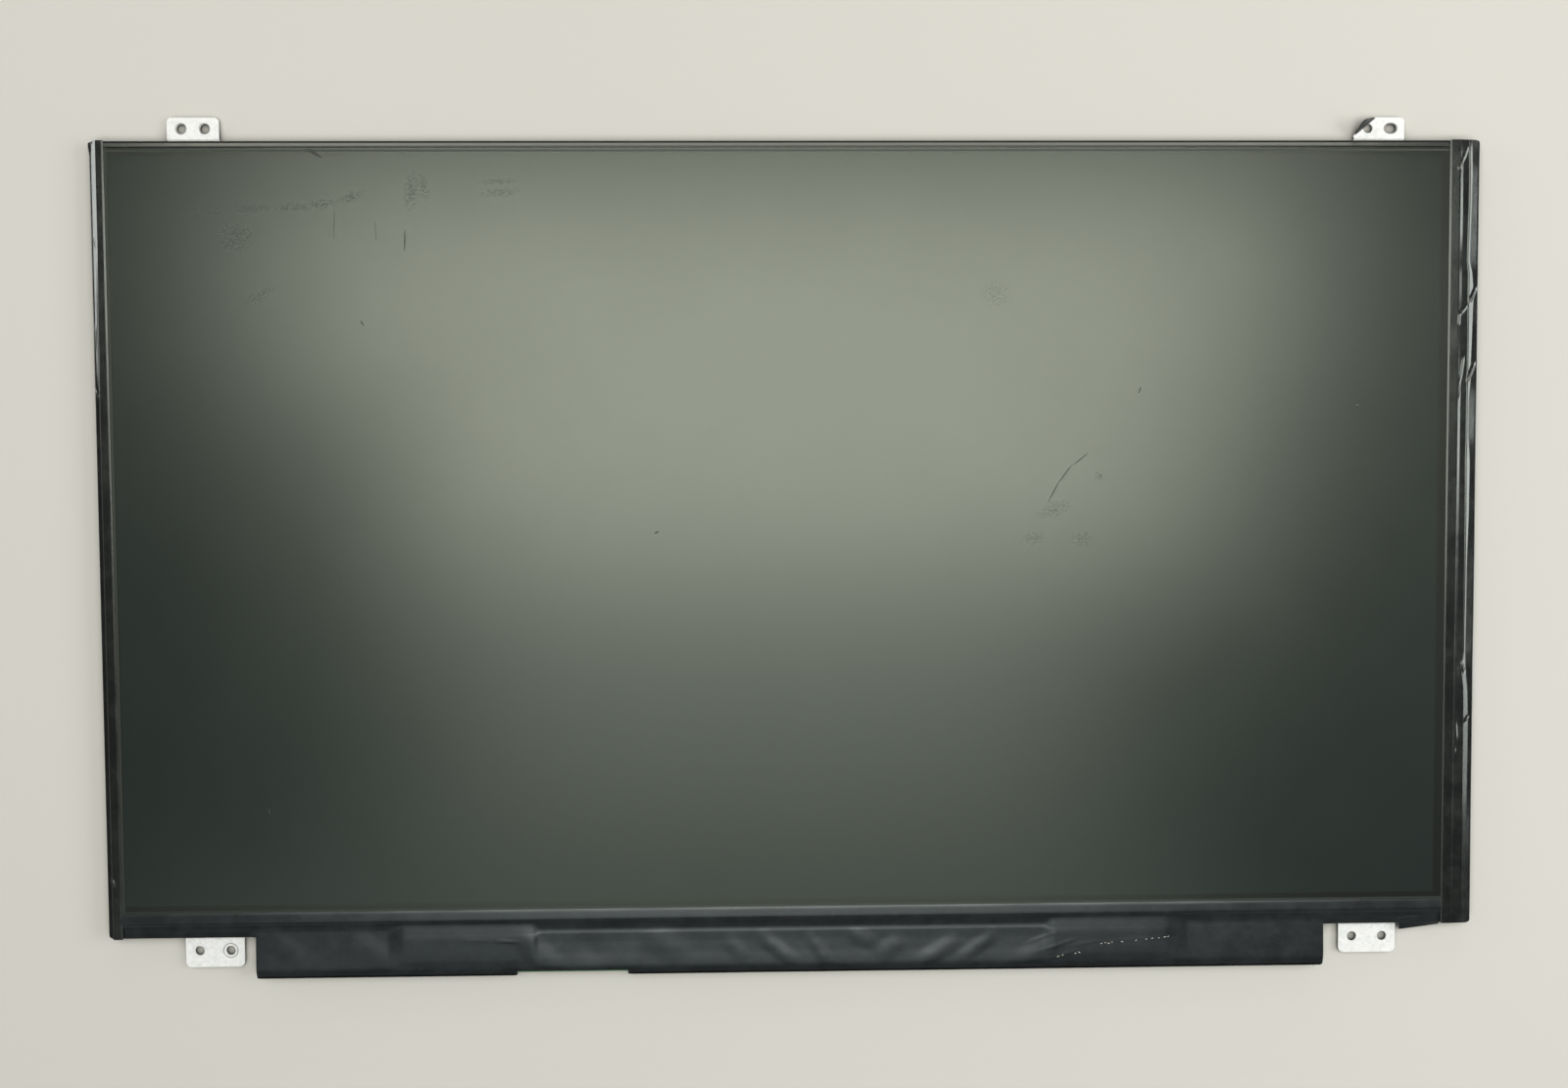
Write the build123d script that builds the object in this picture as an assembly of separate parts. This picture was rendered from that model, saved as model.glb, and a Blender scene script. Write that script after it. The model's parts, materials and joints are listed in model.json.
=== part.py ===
from build123d import *
import math
import os

# A slim laptop screen panel, lying on its back with the picture side up.
# X runs along the long side, Y towards the top edge of the picture, Z out of the screen.
# The origin lies under the middle of the whole outline, on the surface that the panel rests on.
# All sizes are in millimetres.

# Outline
overall_height = 223.8
body_width = 359.5
top_tab_reach = 6.3
flap_reach = 11.0
corner_radius = 1.2

# Thickness of each layer, from the back to the front
bracket_sheet = 0.4
plate_sheet = 0.25
reflector_thick = 0.12
guide_thick = 0.5
lower_diffuser_thick = 0.1
lower_prism_thick = 0.13
upper_prism_thick = 0.13
upper_diffuser_thick = 0.1
lip_thick = 0.3
rim_tape_thick = 0.05
transistor_glass_thick = 0.4
filter_glass_thick = 0.4
rear_polariser_thick = 0.13
front_polariser_thick = 0.17
tape_thick = 0.08

# Moulded frame and the glass that it holds
side_wall = 1.2
gate_wall = 2.4
source_wall = 1.0
wall_rise = 0.25
gate_ridge = 0.55
cell_clearance = 0.25
gate_ledge = 2.5
source_ledge = 2.9
polariser_inset = 0.3

# Dark border of the filter glass round the picture area
border_left = 3.44
border_right = 5.14
border_top = 2.7
border_bottom = 4.5

# Window in the lip, and the optical sheets behind it
opening_margin = 1.4
rear_polariser_gap = 0.3
rim_tape_inset = 0.15
sheet_overlap = 0.8
sheet_clearance = 0.3
ear_length = 6.0
ear_depth = 0.9
ear_height_on_side = 40.0

# Folded tray with hook windows
flange_rise = 1.2
flange_clearance = 0.05
corner_relief = 2.0
hook_length = 6.0
hook_height = 0.5
hook_clearance = 0.08
hook_spacing = 90.0

# Light bar along the bottom edge of the light guide
diode_count = 40
diode_length = 3.4
diode_depth = 1.0
diode_height = 0.5
diode_rim = 0.12
diode_window = 0.25
diode_gap = 0.1
flex_thick = 0.12
flex_clearance = 0.3
tail_width = 8.0
tail_middle = 104.0
tail_clearance = 0.3

# Edge tape: how far each strip reaches in from the edge of the body
tape_left_reach = 3.65
tape_right_reach = 8.15
tape_top_reach = 1.9
tape_bottom_reach = 6.75
skirt_level = 1.0

# Control board below the body, and the film folded round it
flap_left_inset = 38.25
flap_right_inset = 39.45
board_side_inset = 0.6
board_fold_inset = 0.95
board_gap = 0.35
board_thick = 0.8
board_corner = 0.6
fold_return = 2.2
film_clearance = 0.05

# Source films that join the glass to the control board
source_film_offset = 84.5
source_film_width = 34.0
source_film_thick = 0.05
source_film_bond = 1.4
tent_margin = 0.5
driver_length = 18.0
driver_width = 1.1
driver_height = 0.33

# Gate driver chips on the right ledge of the glass
gate_driver_count = 3
gate_driver_pitch = 62.0
gate_driver_length = 14.0
gate_driver_width = 1.0
gate_driver_height = 0.25

# Brackets
tab_rise = 0.5
joggle_start = 0.3
joggle_run = 0.6
foot_depth = 9.0
foot_setback = 0.4
foot_ear = 5.0
foot_corner = 1.0
root_radius = 0.8
top_tab_inset = 25.85
top_tab_width = 13.2
top_tab_corner = 1.2
top_hole_pitch = 6.0
top_hole_reach = 3.45
bottom_tab_inset = 26.9
bottom_tab_width = 15.3
bottom_tab_reach = 8.2
bottom_tab_corner = 1.5
bottom_hole_pitch = 8.1
bottom_hole_reach = 3.85
hole_radius = 1.25
worn_hole_length = 3.2

# Bent corner of the top right bracket
fold_angle = 40.0
fold_gap = 0.55
bend_angle = 62.0
bend_radius = 0.1

# Flush rivets that hold the brackets to the tray
rivet_radius = 1.1
rivet_clearance = 0.02
rivet_end_distance = 3.0

# Parts on the back of the control board
board_part_margin = 2.6
controller_middle = 12.0
controller_side = 7.0
controller_height = 0.85
controller_chamfer = 0.5
backlight_chip_middle = 78.0
backlight_chip_side = 4.0
backlight_chip_height = 0.75
coil_middle = 86.0
coil_side = 4.4
coil_height = 1.1
coil_corner = 0.9
capacitor_length = 1.6
capacitor_width = 0.8
capacitor_height = 0.7
capacitor_pitch = 2.4
controller_capacitors = 6
backlight_capacitors = 4
signal_capacitors = 8

# Socket for the tail of the light bar
tail_socket_setback = 1.6
tail_socket_width = 11.0
tail_socket_depth = 3.2
tail_socket_height = 0.95
tail_slot_depth = 2.2
tail_slot_clearance = 0.04
tail_level = 0.55

# Signal socket
signal_middle = -59.0
signal_window = 29.2
window_setback = 0.3
signal_width = 21.0
signal_depth = 4.2
signal_height = 1.0
signal_slot_width = 16.6
signal_slot_depth = 3.0
signal_slot_height = 0.5
signal_roof = 0.3
contact_count = 30
contact_pitch = 0.5
contact_width = 0.2
contact_thick = 0.1
contact_setback = 0.5
contact_tail = 0.7
contact_clearance = 0.02
shell_sheet = 0.12
shell_clearance = 0.03
shell_lug = 1.2
shell_inset = 0.25

# Tolerance for picking out corners and faces by where they are
same_place = 0.001

# Edges of the body, over the tape and under it
body_right = body_width / 2
body_left = -body_right
body_top = overall_height / 2 - top_tab_reach
body_bottom = flap_reach - overall_height / 2
body_middle = (body_top + body_bottom) / 2
shell_left = body_left + tape_thick
shell_right = body_right - tape_thick
shell_top = body_top - tape_thick
shell_bottom = body_bottom + tape_thick

# Levels, from the back to the front
plate_low = bracket_sheet
plate_high = plate_low + plate_sheet
flange_high = plate_low + flange_rise
hook_level = (plate_high + flange_high) / 2
reflector_high = plate_high + reflector_thick
guide_high = reflector_high + guide_thick
lower_diffuser_high = guide_high + lower_diffuser_thick
lower_prism_high = lower_diffuser_high + lower_prism_thick
upper_prism_high = lower_prism_high + upper_prism_thick
upper_diffuser_high = upper_prism_high + upper_diffuser_thick
lip_high = upper_diffuser_high + lip_thick
wall_high = lip_high + wall_rise
ridge_high = wall_high + gate_ridge
rim_high = lip_high + rim_tape_thick
transistor_high = rim_high + transistor_glass_thick
filter_high = transistor_high + filter_glass_thick
polariser_high = filter_high + front_polariser_thick

# Edges of the glass
cell_left = shell_left + side_wall + cell_clearance
cell_top = shell_top - side_wall - cell_clearance
gate_wall_left = shell_right - gate_wall
transistor_right = gate_wall_left - cell_clearance
transistor_bottom = shell_bottom + source_wall + cell_clearance
filter_right = transistor_right - gate_ledge
filter_bottom = transistor_bottom + source_ledge
polariser_left = cell_left + polariser_inset
polariser_right = filter_right - polariser_inset
polariser_top = cell_top - polariser_inset
polariser_bottom = filter_bottom + polariser_inset

# Window in the lip and edges of the optical sheets
opening_left = cell_left + border_left - opening_margin
opening_right = filter_right - border_right + opening_margin
opening_top = cell_top - border_top + opening_margin
opening_bottom = filter_bottom + border_bottom - opening_margin
sheet_left = opening_left - sheet_overlap
sheet_right = opening_right + sheet_overlap
sheet_top = opening_top + sheet_overlap
sheet_bottom = opening_bottom - sheet_overlap
ear_middle = body_middle + ear_height_on_side
pocket_bottom = shell_bottom + source_wall

# Control board
flap_left_end = body_right - flap_left_inset
flap_right_end = body_right - flap_right_inset
flap_bottom = tape_thick - overall_height / 2
board_left = board_side_inset - flap_left_end
board_right = flap_right_end - board_side_inset
board_top = shell_bottom - board_gap
board_bottom = flap_bottom - tape_thick + board_fold_inset
board_high = transistor_high
board_low = board_high - board_thick
part_row = (board_top + board_bottom) / 2 + (fold_return - board_fold_inset) / 2

# Middles of the tabs, to the left and right of the middle of the body
top_tab_middle = body_right - top_tab_inset
bottom_tab_middle = body_right - bottom_tab_inset


def slab(left, right, bottom, top, low, high):
    """A box given by its six faces."""
    middle = Pos((left + right) / 2, (bottom + top) / 2, (low + high) / 2)
    return middle * Box(right - left, top - bottom, high - low)


def sheet_section(path, thickness):
    """Section of a thin sheet whose one face follows the path and whose body lies on its left."""
    points = [Vector(*point) for point in path]
    normals = []
    for start, end in zip(points, points[1:]):
        along = (end - start).normalized()
        normals.append(Vector(-along.Y, along.X))
    other_face = []
    for index, point in enumerate(points):
        before = normals[max(index - 1, 0)]
        after = normals[min(index, len(normals) - 1)]
        other_face.append(point + (before + after) * (thickness / (1 + before.dot(after))))
    return make_face(Polyline(*points, *reversed(other_face), close=True))


def along_x(section, left, right):
    """A section drawn in Y and Z, drawn out along X."""
    return extrude(Plane.YZ.offset(left) * section, right - left)


def along_y(section, bottom, top):
    """A section drawn in X and Z, drawn out along Y."""
    return extrude(Plane.XZ.offset(-top) * section, top - bottom)


def spread(count, pitch):
    """Evenly spaced places about zero."""
    return [(index - (count - 1) / 2) * pitch for index in range(count)]


def hook_places():
    """Middle of each hook on the four sides: the side's name and the place along it."""
    body_height = body_top - body_bottom
    long_count = round(body_width / hook_spacing)
    short_count = round(body_height / hook_spacing)
    places = []
    for offset in spread(long_count, body_width / long_count):
        places.append(("top", offset))
        places.append(("bottom", offset))
    for offset in spread(short_count, body_height / short_count):
        places.append(("left", body_middle + offset))
        places.append(("right", body_middle + offset))
    return places


def side_strip(side, start, end, outer, inner, low, high):
    """A box along one side of the body, given by its depths in from the outside of the tray."""
    if side == "left":
        return slab(shell_left + outer, shell_left + inner, start, end, low, high)
    if side == "right":
        return slab(shell_right - inner, shell_right - outer, start, end, low, high)
    if side == "top":
        return slab(start, end, shell_top - inner, shell_top - outer, low, high)
    return slab(start, end, shell_bottom + outer, shell_bottom + inner, low, high)


def side_ends(side):
    """Where the flange on this side starts and ends."""
    if side in ("left", "right"):
        return shell_bottom + corner_relief, shell_top - corner_relief
    return shell_left + corner_relief, shell_right - corner_relief


def tail_notch(high):
    """Way out for the tail of the light bar through the bottom wall."""
    half = tail_width / 2 + tail_clearance
    return slab(tail_middle - half, tail_middle + half, body_bottom, pocket_bottom, plate_high, high)


def back_plate():
    """Folded tray of thin aluminium: a base, four low flanges, open corners and hook windows."""
    tray = slab(shell_left, shell_right, shell_bottom, shell_top, plate_low, flange_high)
    tray = fillet(tray.faces().sort_by(Axis.Z)[0].edges(), plate_sheet)
    tray -= slab(shell_left + plate_sheet, shell_right - plate_sheet,
                 shell_bottom + plate_sheet, shell_top - plate_sheet, plate_high, flange_high)
    for x in (shell_left, shell_right):
        for y in (shell_bottom, shell_top):
            tray -= slab(x - corner_relief, x + corner_relief,
                         y - corner_relief, y + corner_relief, plate_low, flange_high)
    half_length = hook_length / 2
    half_height = hook_height / 2
    cuts = [tail_notch(flange_high)]
    for side, place in hook_places():
        cuts.append(side_strip(side, place - half_length, place + half_length, 0, plate_sheet,
                               hook_level - half_height, hook_level + half_height))
    for x, y in rivet_places():
        cuts.append(Pos(x, y, plate_high) * Cylinder(rivet_radius + rivet_clearance, 2 * plate_sheet))
    return tray - cuts


def mould_frame():
    """Frame with a thin lip: the sheets lie under the lip, the glass lies on it inside the wall.

    The top of the wide right wall slopes up to a ridge beside the glass.
    """
    frame = slab(shell_left, shell_right, shell_bottom, shell_top, plate_high, ridge_high)
    frame = fillet(frame.edges().filter_by(Axis.Z), corner_radius - tape_thick)
    frame -= slab(shell_left, gate_wall_left, shell_bottom, shell_top, wall_high, ridge_high)
    over_slope = Polyline((gate_wall_left, ridge_high), (shell_right, wall_high), (shell_right, ridge_high),
                          close=True)
    frame -= along_y(make_face(over_slope), shell_bottom, shell_top)
    frame -= slab(sheet_left - sheet_clearance, sheet_right + sheet_clearance,
                  pocket_bottom, sheet_top + sheet_clearance, plate_high, upper_diffuser_high)
    frame -= slab(opening_left, opening_right, opening_bottom, opening_top, plate_high, wall_high)
    frame -= slab(cell_left - cell_clearance, gate_wall_left,
                  transistor_bottom - cell_clearance, cell_top + cell_clearance, lip_high, wall_high)
    ear_room = ear_length / 2 + sheet_clearance
    frame -= slab(sheet_left - ear_depth - sheet_clearance, sheet_right + ear_depth + sheet_clearance,
                  ear_middle - ear_room, ear_middle + ear_room, plate_high, upper_diffuser_high)
    recess = plate_sheet + flange_clearance
    for side in ("left", "right", "top", "bottom"):
        start, end = side_ends(side)
        frame -= side_strip(side, start - flange_clearance, end + flange_clearance, 0, recess,
                            plate_high, flange_high + flange_clearance)
    half_length = hook_length / 2 - hook_clearance
    half_height = hook_height / 2 - hook_clearance
    for side, place in hook_places():
        frame += side_strip(side, place - half_length, place + half_length, flange_clearance, recess,
                            hook_level - half_height, hook_level + half_height)
    return frame - tail_notch(plate_high + flex_thick + tail_clearance)


def optical_sheet(low, high):
    """One sheet of the stack behind the lip, with an ear at each side."""
    sheet = slab(sheet_left, sheet_right, sheet_bottom, sheet_top, low, high)
    half = ear_length / 2
    return sheet + slab(sheet_left - ear_depth, sheet_right + ear_depth,
                        ear_middle - half, ear_middle + half, low, high)


def rim_tape():
    """Black tape ring between the lip and the glass."""
    ring = slab(cell_left + rim_tape_inset, transistor_right - rim_tape_inset,
                transistor_bottom + rim_tape_inset, cell_top - rim_tape_inset, lip_high, rim_high)
    return ring - slab(opening_left, opening_right, opening_bottom, opening_top, lip_high, rim_high)


def rear_polariser():
    """Polariser under the glass, inside the window of the lip."""
    gap = rear_polariser_gap
    return slab(opening_left + gap, opening_right - gap, opening_bottom + gap, opening_top - gap,
                rim_high - rear_polariser_thick, rim_high)


def light_bar_flex():
    """Flexible strip under the diodes, with a tail that climbs to its socket on the board."""
    strip = slab(sheet_left, sheet_right, pocket_bottom + flex_clearance, sheet_bottom - diode_gap,
                 plate_high, plate_high + flex_thick)
    socket_front = board_top - tail_socket_setback
    tail_low = board_low - tail_level
    path = [(socket_front - tail_slot_depth + tail_clearance, tail_low),
            (socket_front + tail_clearance, tail_low),
            (body_bottom - tail_clearance, plate_high),
            (pocket_bottom + 2 * flex_clearance, plate_high)]
    tail = along_x(sheet_section(path, flex_thick),
                   tail_middle - tail_width / 2, tail_middle + tail_width / 2)
    return strip + tail


def light_bar_diodes():
    """Row of white diodes that face the bottom edge of the light guide."""
    front = sheet_bottom - diode_gap
    low = plate_high + flex_thick
    half = diode_length / 2
    diode = slab(-half, half, front - diode_depth, front, low, low + diode_height)
    diode -= slab(diode_rim - half, half - diode_rim, front - diode_window, front,
                  low + diode_rim, low + diode_height - diode_rim)
    middle = (sheet_left + sheet_right) / 2
    pitch = (sheet_right - sheet_left) / diode_count
    return Compound(children=[Pos(middle + x) * diode for x in spread(diode_count, pitch)])


def source_film(middle):
    """Thin flexible film from the bottom ledge of the glass to the control board."""
    half = source_film_width / 2
    return slab(middle - half, middle + half, board_top - source_film_bond,
                transistor_bottom + source_film_bond, board_high, board_high + source_film_thick)


def source_driver(middle):
    """Long narrow chip across the middle of a source film."""
    row = (transistor_bottom + board_top) / 2
    half_length = driver_length / 2
    half_width = driver_width / 2
    low = board_high + source_film_thick
    return slab(middle - half_length, middle + half_length, row - half_width, row + half_width,
                low, low + driver_height)


def gate_drivers():
    """Chips that stand on the right ledge of the transistor glass."""
    column = (filter_right + transistor_right) / 2
    chips = []
    for offset in spread(gate_driver_count, gate_driver_pitch):
        chips.append(slab(column - gate_driver_width / 2, column + gate_driver_width / 2,
                          body_middle + offset - gate_driver_length / 2,
                          body_middle + offset + gate_driver_length / 2,
                          transistor_high, transistor_high + gate_driver_height))
    return Compound(children=chips)


def foot_rivets(tab_width):
    """Places of a bracket's two rivets along its foot."""
    reach = tab_width / 2 + foot_ear - rivet_end_distance
    return (-reach, reach)


def rivet_places():
    """Middle of every rivet."""
    places = []
    for side in (-1, 1):
        for offset in foot_rivets(top_tab_width):
            places.append((side * top_tab_middle + offset, body_top - foot_depth / 2))
        for offset in foot_rivets(bottom_tab_width):
            places.append((side * bottom_tab_middle + offset, body_bottom + foot_depth / 2))
    return places


def bracket_rivets():
    """Flush rivets through the feet of the brackets and the tray."""
    rivet = Pos(0, 0, plate_high / 2) * Cylinder(rivet_radius, plate_high)
    return Compound(children=[Pos(x, y) * rivet for x, y in rivet_places()])


def bracket(tab_width, tab_reach, tab_corner, holes):
    """Stamped steel bracket at the origin: the edge of the body is Y zero and the tab points to +Y."""
    foot_width = tab_width + 2 * foot_ear
    path = [(-foot_depth, 0), (joggle_start, 0),
            (joggle_start + joggle_run, tab_rise), (tab_reach, tab_rise)]
    sheet = along_x(sheet_section(path, bracket_sheet), -foot_width / 2, foot_width / 2)
    foot = Pos(0, -(foot_depth + foot_setback) / 2) * Rectangle(foot_width, foot_depth - foot_setback)
    foot = fillet(foot.vertices(), foot_corner)
    tab = Pos(0, (tab_reach - foot_depth / 2) / 2) * Rectangle(tab_width, tab_reach + foot_depth / 2)
    tab = fillet(tab.vertices().group_by(Axis.Y)[-1], tab_corner)
    plan = foot + tab
    roots = plan.vertices().filter_by(lambda corner: abs(corner.Y + foot_setback) < same_place
                                      and abs(abs(corner.X) - tab_width / 2) < same_place)
    rivet_hole = Pos(0, -foot_depth / 2) * Circle(rivet_radius + rivet_clearance)
    rivet_holes = [Pos(x) * rivet_hole for x in foot_rivets(tab_width)]
    plan = fillet(roots, root_radius) - holes - rivet_holes
    return sheet & extrude(plan, tab_rise + bracket_sheet)


def top_bracket(right_hole):
    """Bracket of the top edge, at the origin, with a round left hole."""
    holes = [Pos(-top_hole_pitch / 2, top_hole_reach) * Circle(hole_radius),
             Pos(top_hole_pitch / 2, top_hole_reach) * right_hole]
    return bracket(top_tab_width, top_tab_reach, top_tab_corner, holes)


def bottom_bracket():
    """Bracket of the bottom edge, at the origin, pointing to -Y."""
    holes = [Pos(x, bottom_hole_reach) * Circle(hole_radius) for x in spread(2, bottom_hole_pitch)]
    part = bracket(bottom_tab_width, bottom_tab_reach, bottom_tab_corner, holes)
    return mirror(part, about=Plane.XZ)


def bent_top_bracket():
    """Bracket of the top edge with a worn right hole and its left corner bent up through the left hole."""
    flat = top_bracket(SlotOverall(worn_hole_length, 2 * hole_radius))
    tab_high = tab_rise + bracket_sheet
    turn = math.radians(fold_angle)
    away = Vector(-math.sin(turn), math.cos(turn))
    hole = Vector(-top_hole_pitch / 2, top_hole_reach)
    fold = hole + away * fold_gap
    used_up = math.radians(bend_angle) * (bend_radius + bracket_sheet / 2)
    room = top_tab_width + top_tab_reach
    tab_zone = slab(-room, room, joggle_start + joggle_run, room, 0, 2 * tab_high)
    past_fold = Rot(0, 0, fold_angle) * Pos(0, room, 0) * Box(2 * room, 2 * room, 4 * tab_high)
    corner = flat & tab_zone & (Pos(fold + away * used_up) * past_fold)
    rest = flat - (tab_zone & (Pos(fold) * past_fold))
    hinge = Axis(fold + Vector(0, 0, tab_high + bend_radius), away.cross(Vector(0, 0, 1)))
    cut_faces = rest.faces().filter_by(lambda face: abs((face.center() - fold).dot(away)) < same_place
                                       and abs(face.normal_at().dot(away)) > 1 - same_place)
    bend = revolve(cut_faces, hinge, bend_angle)
    corner = Pos(away * -used_up) * corner
    stamped = slab(-room, room, -foot_depth, top_tab_reach, 0, room)
    return (rest + bend + corner.rotate(hinge, bend_angle)) & stamped


def edge_tape(path, start, end):
    """Strip of tape along a short side, cut to the round corners of the body."""
    strip = along_y(sheet_section(path, tape_thick), start, end)
    outline = slab(body_left, body_right, body_bottom, body_top, 0, polariser_high + 2 * tape_thick)
    return strip & fillet(outline.edges().filter_by(Axis.Z), corner_radius)


def edge_tape_left():
    """Tape from the polariser over the edge of the glass and down the left wall."""
    path = [(shell_left, skirt_level), (shell_left, wall_high), (cell_left, filter_high),
            (polariser_left, polariser_high), (body_left + tape_left_reach, polariser_high)]
    return edge_tape(path, body_bottom, body_top)


def edge_tape_right():
    """Tape that steps down from the filter glass to the transistor glass and climbs over the right wall."""
    chip_edge = transistor_right - (gate_ledge - gate_driver_width) / 2
    chip_top = transistor_high + gate_driver_height
    path = [(body_right - tape_right_reach, polariser_high), (polariser_right, polariser_high),
            (filter_right, filter_high), (chip_edge, chip_top), (transistor_right, transistor_high),
            (gate_wall_left, ridge_high), (shell_right, wall_high), (shell_right, skirt_level)]
    return edge_tape(path, body_bottom, body_top)


def edge_tape_top():
    """Narrow tape along the top edge, between the two side tapes."""
    path = [(body_top - tape_top_reach, polariser_high), (polariser_top, polariser_high),
            (cell_top, filter_high), (shell_top, wall_high), (shell_top, skirt_level)]
    return along_x(sheet_section(path, tape_thick),
                   body_left + tape_left_reach, body_right - tape_right_reach)


def board_cover_film():
    """Film over the bottom border and the control board, folded round the board's lower edge.

    It is stretched like a tent over each source film, and dips to the edge of the body beside them.
    """
    inner = body_bottom + tape_bottom_reach
    film_top = board_high + source_film_thick
    under = board_low - film_clearance
    driver_row = (transistor_bottom + board_top) / 2
    round_board = [(flap_bottom + fold_return, under), (flap_bottom, under), (flap_bottom, film_top)]
    over_edge = [(shell_bottom, wall_high), (transistor_bottom, transistor_high)]
    over_glass = [(filter_bottom, filter_high), (polariser_bottom, polariser_high), (inner, polariser_high)]
    dip = [(board_top, film_top)] + over_edge
    tent = [(board_top - source_film_bond, film_top), (driver_row - driver_width, filter_high)]
    body_section = sheet_section([(shell_bottom, skirt_level)] + over_edge + over_glass, tape_thick)
    dip_section = sheet_section(round_board + dip + over_glass, tape_thick)
    tent_section = sheet_section(round_board + tent + over_glass, tape_thick)
    tent_end = make_face(Polyline(*tent, (filter_bottom, filter_high), *reversed(dip), close=True))
    tent_half = source_film_width / 2 + tent_margin
    film = along_x(body_section, body_left + tape_left_reach, -flap_left_end)
    film += along_x(body_section, flap_right_end, body_right - tape_right_reach)
    dip_left = -flap_left_end
    for middle in (-source_film_offset, source_film_offset):
        tent_left = middle - tent_half
        tent_right = middle + tent_half
        film += along_x(dip_section, dip_left, tent_left)
        film += along_x(tent_section, tent_left, tent_right)
        film += along_x(tent_end, tent_left, tent_left + tape_thick)
        film += along_x(tent_end, tent_right - tape_thick, tent_right)
        dip_left = tent_right
    film += along_x(dip_section, dip_left, flap_right_end)
    half = signal_window / 2
    fold = flap_bottom - 2 * tape_thick
    film -= slab(signal_middle - half, signal_middle + half, fold, board_bottom + window_setback,
                 0, polariser_high)
    return film - slab(signal_middle - half, signal_middle + half,
                       fold, flap_bottom + fold_return + tape_thick, 0, board_low)


def control_board():
    """Long narrow circuit board level with the bottom ledge of the glass."""
    board = slab(board_left, board_right, board_bottom, board_top, board_low, board_high)
    return chamfer(board.edges().filter_by(Axis.Z), board_corner)


def timing_controller():
    """Square chip with one corner cut off as its mark."""
    half = controller_side / 2
    chip = slab(controller_middle - half, controller_middle + half, part_row - half, part_row + half,
                board_low - controller_height, board_low)
    return chamfer(chip.edges().filter_by(Axis.Z).sort_by(Axis.X)[:1], controller_chamfer)


def backlight_driver():
    """Small square chip that feeds the light bar."""
    half = backlight_chip_side / 2
    return slab(backlight_chip_middle - half, backlight_chip_middle + half, part_row - half, part_row + half,
                board_low - backlight_chip_height, board_low)


def power_coil():
    """Flat moulded coil with round corners beside the backlight driver."""
    half = coil_side / 2
    coil = slab(coil_middle - half, coil_middle + half, part_row - half, part_row + half,
                board_low - coil_height, board_low)
    return fillet(coil.edges().filter_by(Axis.Z), coil_corner)


def board_capacitors():
    """Rows of small capacitors beside the chips and behind the signal socket."""
    controller_gap = controller_side / 2 + capacitor_pitch * (controller_capacitors + 1) / 2
    backlight_gap = backlight_chip_side / 2 + capacitor_pitch * (backlight_capacitors + 1) / 2
    rows = [(controller_middle - controller_gap, controller_capacitors, part_row),
            (controller_middle + controller_gap, controller_capacitors, part_row),
            (backlight_chip_middle - backlight_gap, backlight_capacitors, part_row),
            (signal_middle, signal_capacitors, board_top - board_part_margin)]
    capacitors = []
    for middle, count, y in rows:
        for x in spread(count, capacitor_pitch):
            left = middle + x - capacitor_width / 2
            capacitors.append(slab(left, left + capacitor_width, y - capacitor_length / 2,
                                   y + capacitor_length / 2, board_low - capacitor_height, board_low))
    return Compound(children=capacitors)


def light_bar_socket():
    """Flat socket on the board for the tail of the light bar."""
    front = board_top - tail_socket_setback
    half = tail_socket_width / 2
    socket = slab(tail_middle - half, tail_middle + half, front - tail_socket_depth, front,
                  board_low - tail_socket_height, board_low)
    slot_half = tail_width / 2 + tail_slot_clearance
    slot_low = board_low - tail_level - tail_slot_clearance
    return socket - slab(tail_middle - slot_half, tail_middle + slot_half, front - tail_slot_depth, front,
                         slot_low, slot_low + flex_thick + 2 * tail_slot_clearance)


def signal_socket_housing():
    """Moulded body of the signal socket, open towards the lower edge of the board."""
    half = signal_width / 2
    back = board_bottom + signal_depth
    housing = slab(signal_middle - half, signal_middle + half, board_bottom, back,
                   board_low - signal_height, board_low)
    slot_high = board_low - signal_roof
    slot_half = signal_slot_width / 2
    housing -= slab(signal_middle - slot_half, signal_middle + slot_half, board_bottom,
                    board_bottom + signal_slot_depth, slot_high - signal_slot_height, slot_high)
    contact_half = contact_width / 2 + contact_clearance
    channels = []
    for x in spread(contact_count, contact_pitch):
        middle = signal_middle + x
        channels.append(slab(middle - contact_half, middle + contact_half,
                             board_bottom + signal_slot_depth, back,
                             slot_high - contact_thick - contact_clearance, slot_high))
    return housing - channels


def signal_socket_contacts():
    """Row of contacts along the roof of the slot, each with a tail that drops to the board behind."""
    back = board_bottom + signal_depth
    low = board_low - signal_roof - contact_thick
    path = [(board_bottom + contact_setback, low), (back + contact_thick, low),
            (back + signal_roof, board_low - contact_thick),
            (back + signal_roof + contact_tail, board_low - contact_thick)]
    section = sheet_section(path, contact_thick)
    contacts = []
    for x in spread(contact_count, contact_pitch):
        left = signal_middle + x - contact_width / 2
        contacts.append(along_x(section, left, left + contact_width))
    return Compound(children=contacts)


def signal_socket_shell():
    """Thin steel cover round the signal socket, with a lug on the board at each end."""
    half = signal_width / 2 + shell_clearance
    low = board_low - signal_height - shell_clearance
    path = [(half + shell_lug, board_low), (half, board_low), (half, low),
            (-half, low), (-half, board_low), (-half - shell_lug, board_low)]
    shell = along_y(sheet_section(path, shell_sheet), board_bottom + shell_inset,
                    board_bottom + signal_depth - shell_inset)
    return Pos(signal_middle, 0, 0) * shell


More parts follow.
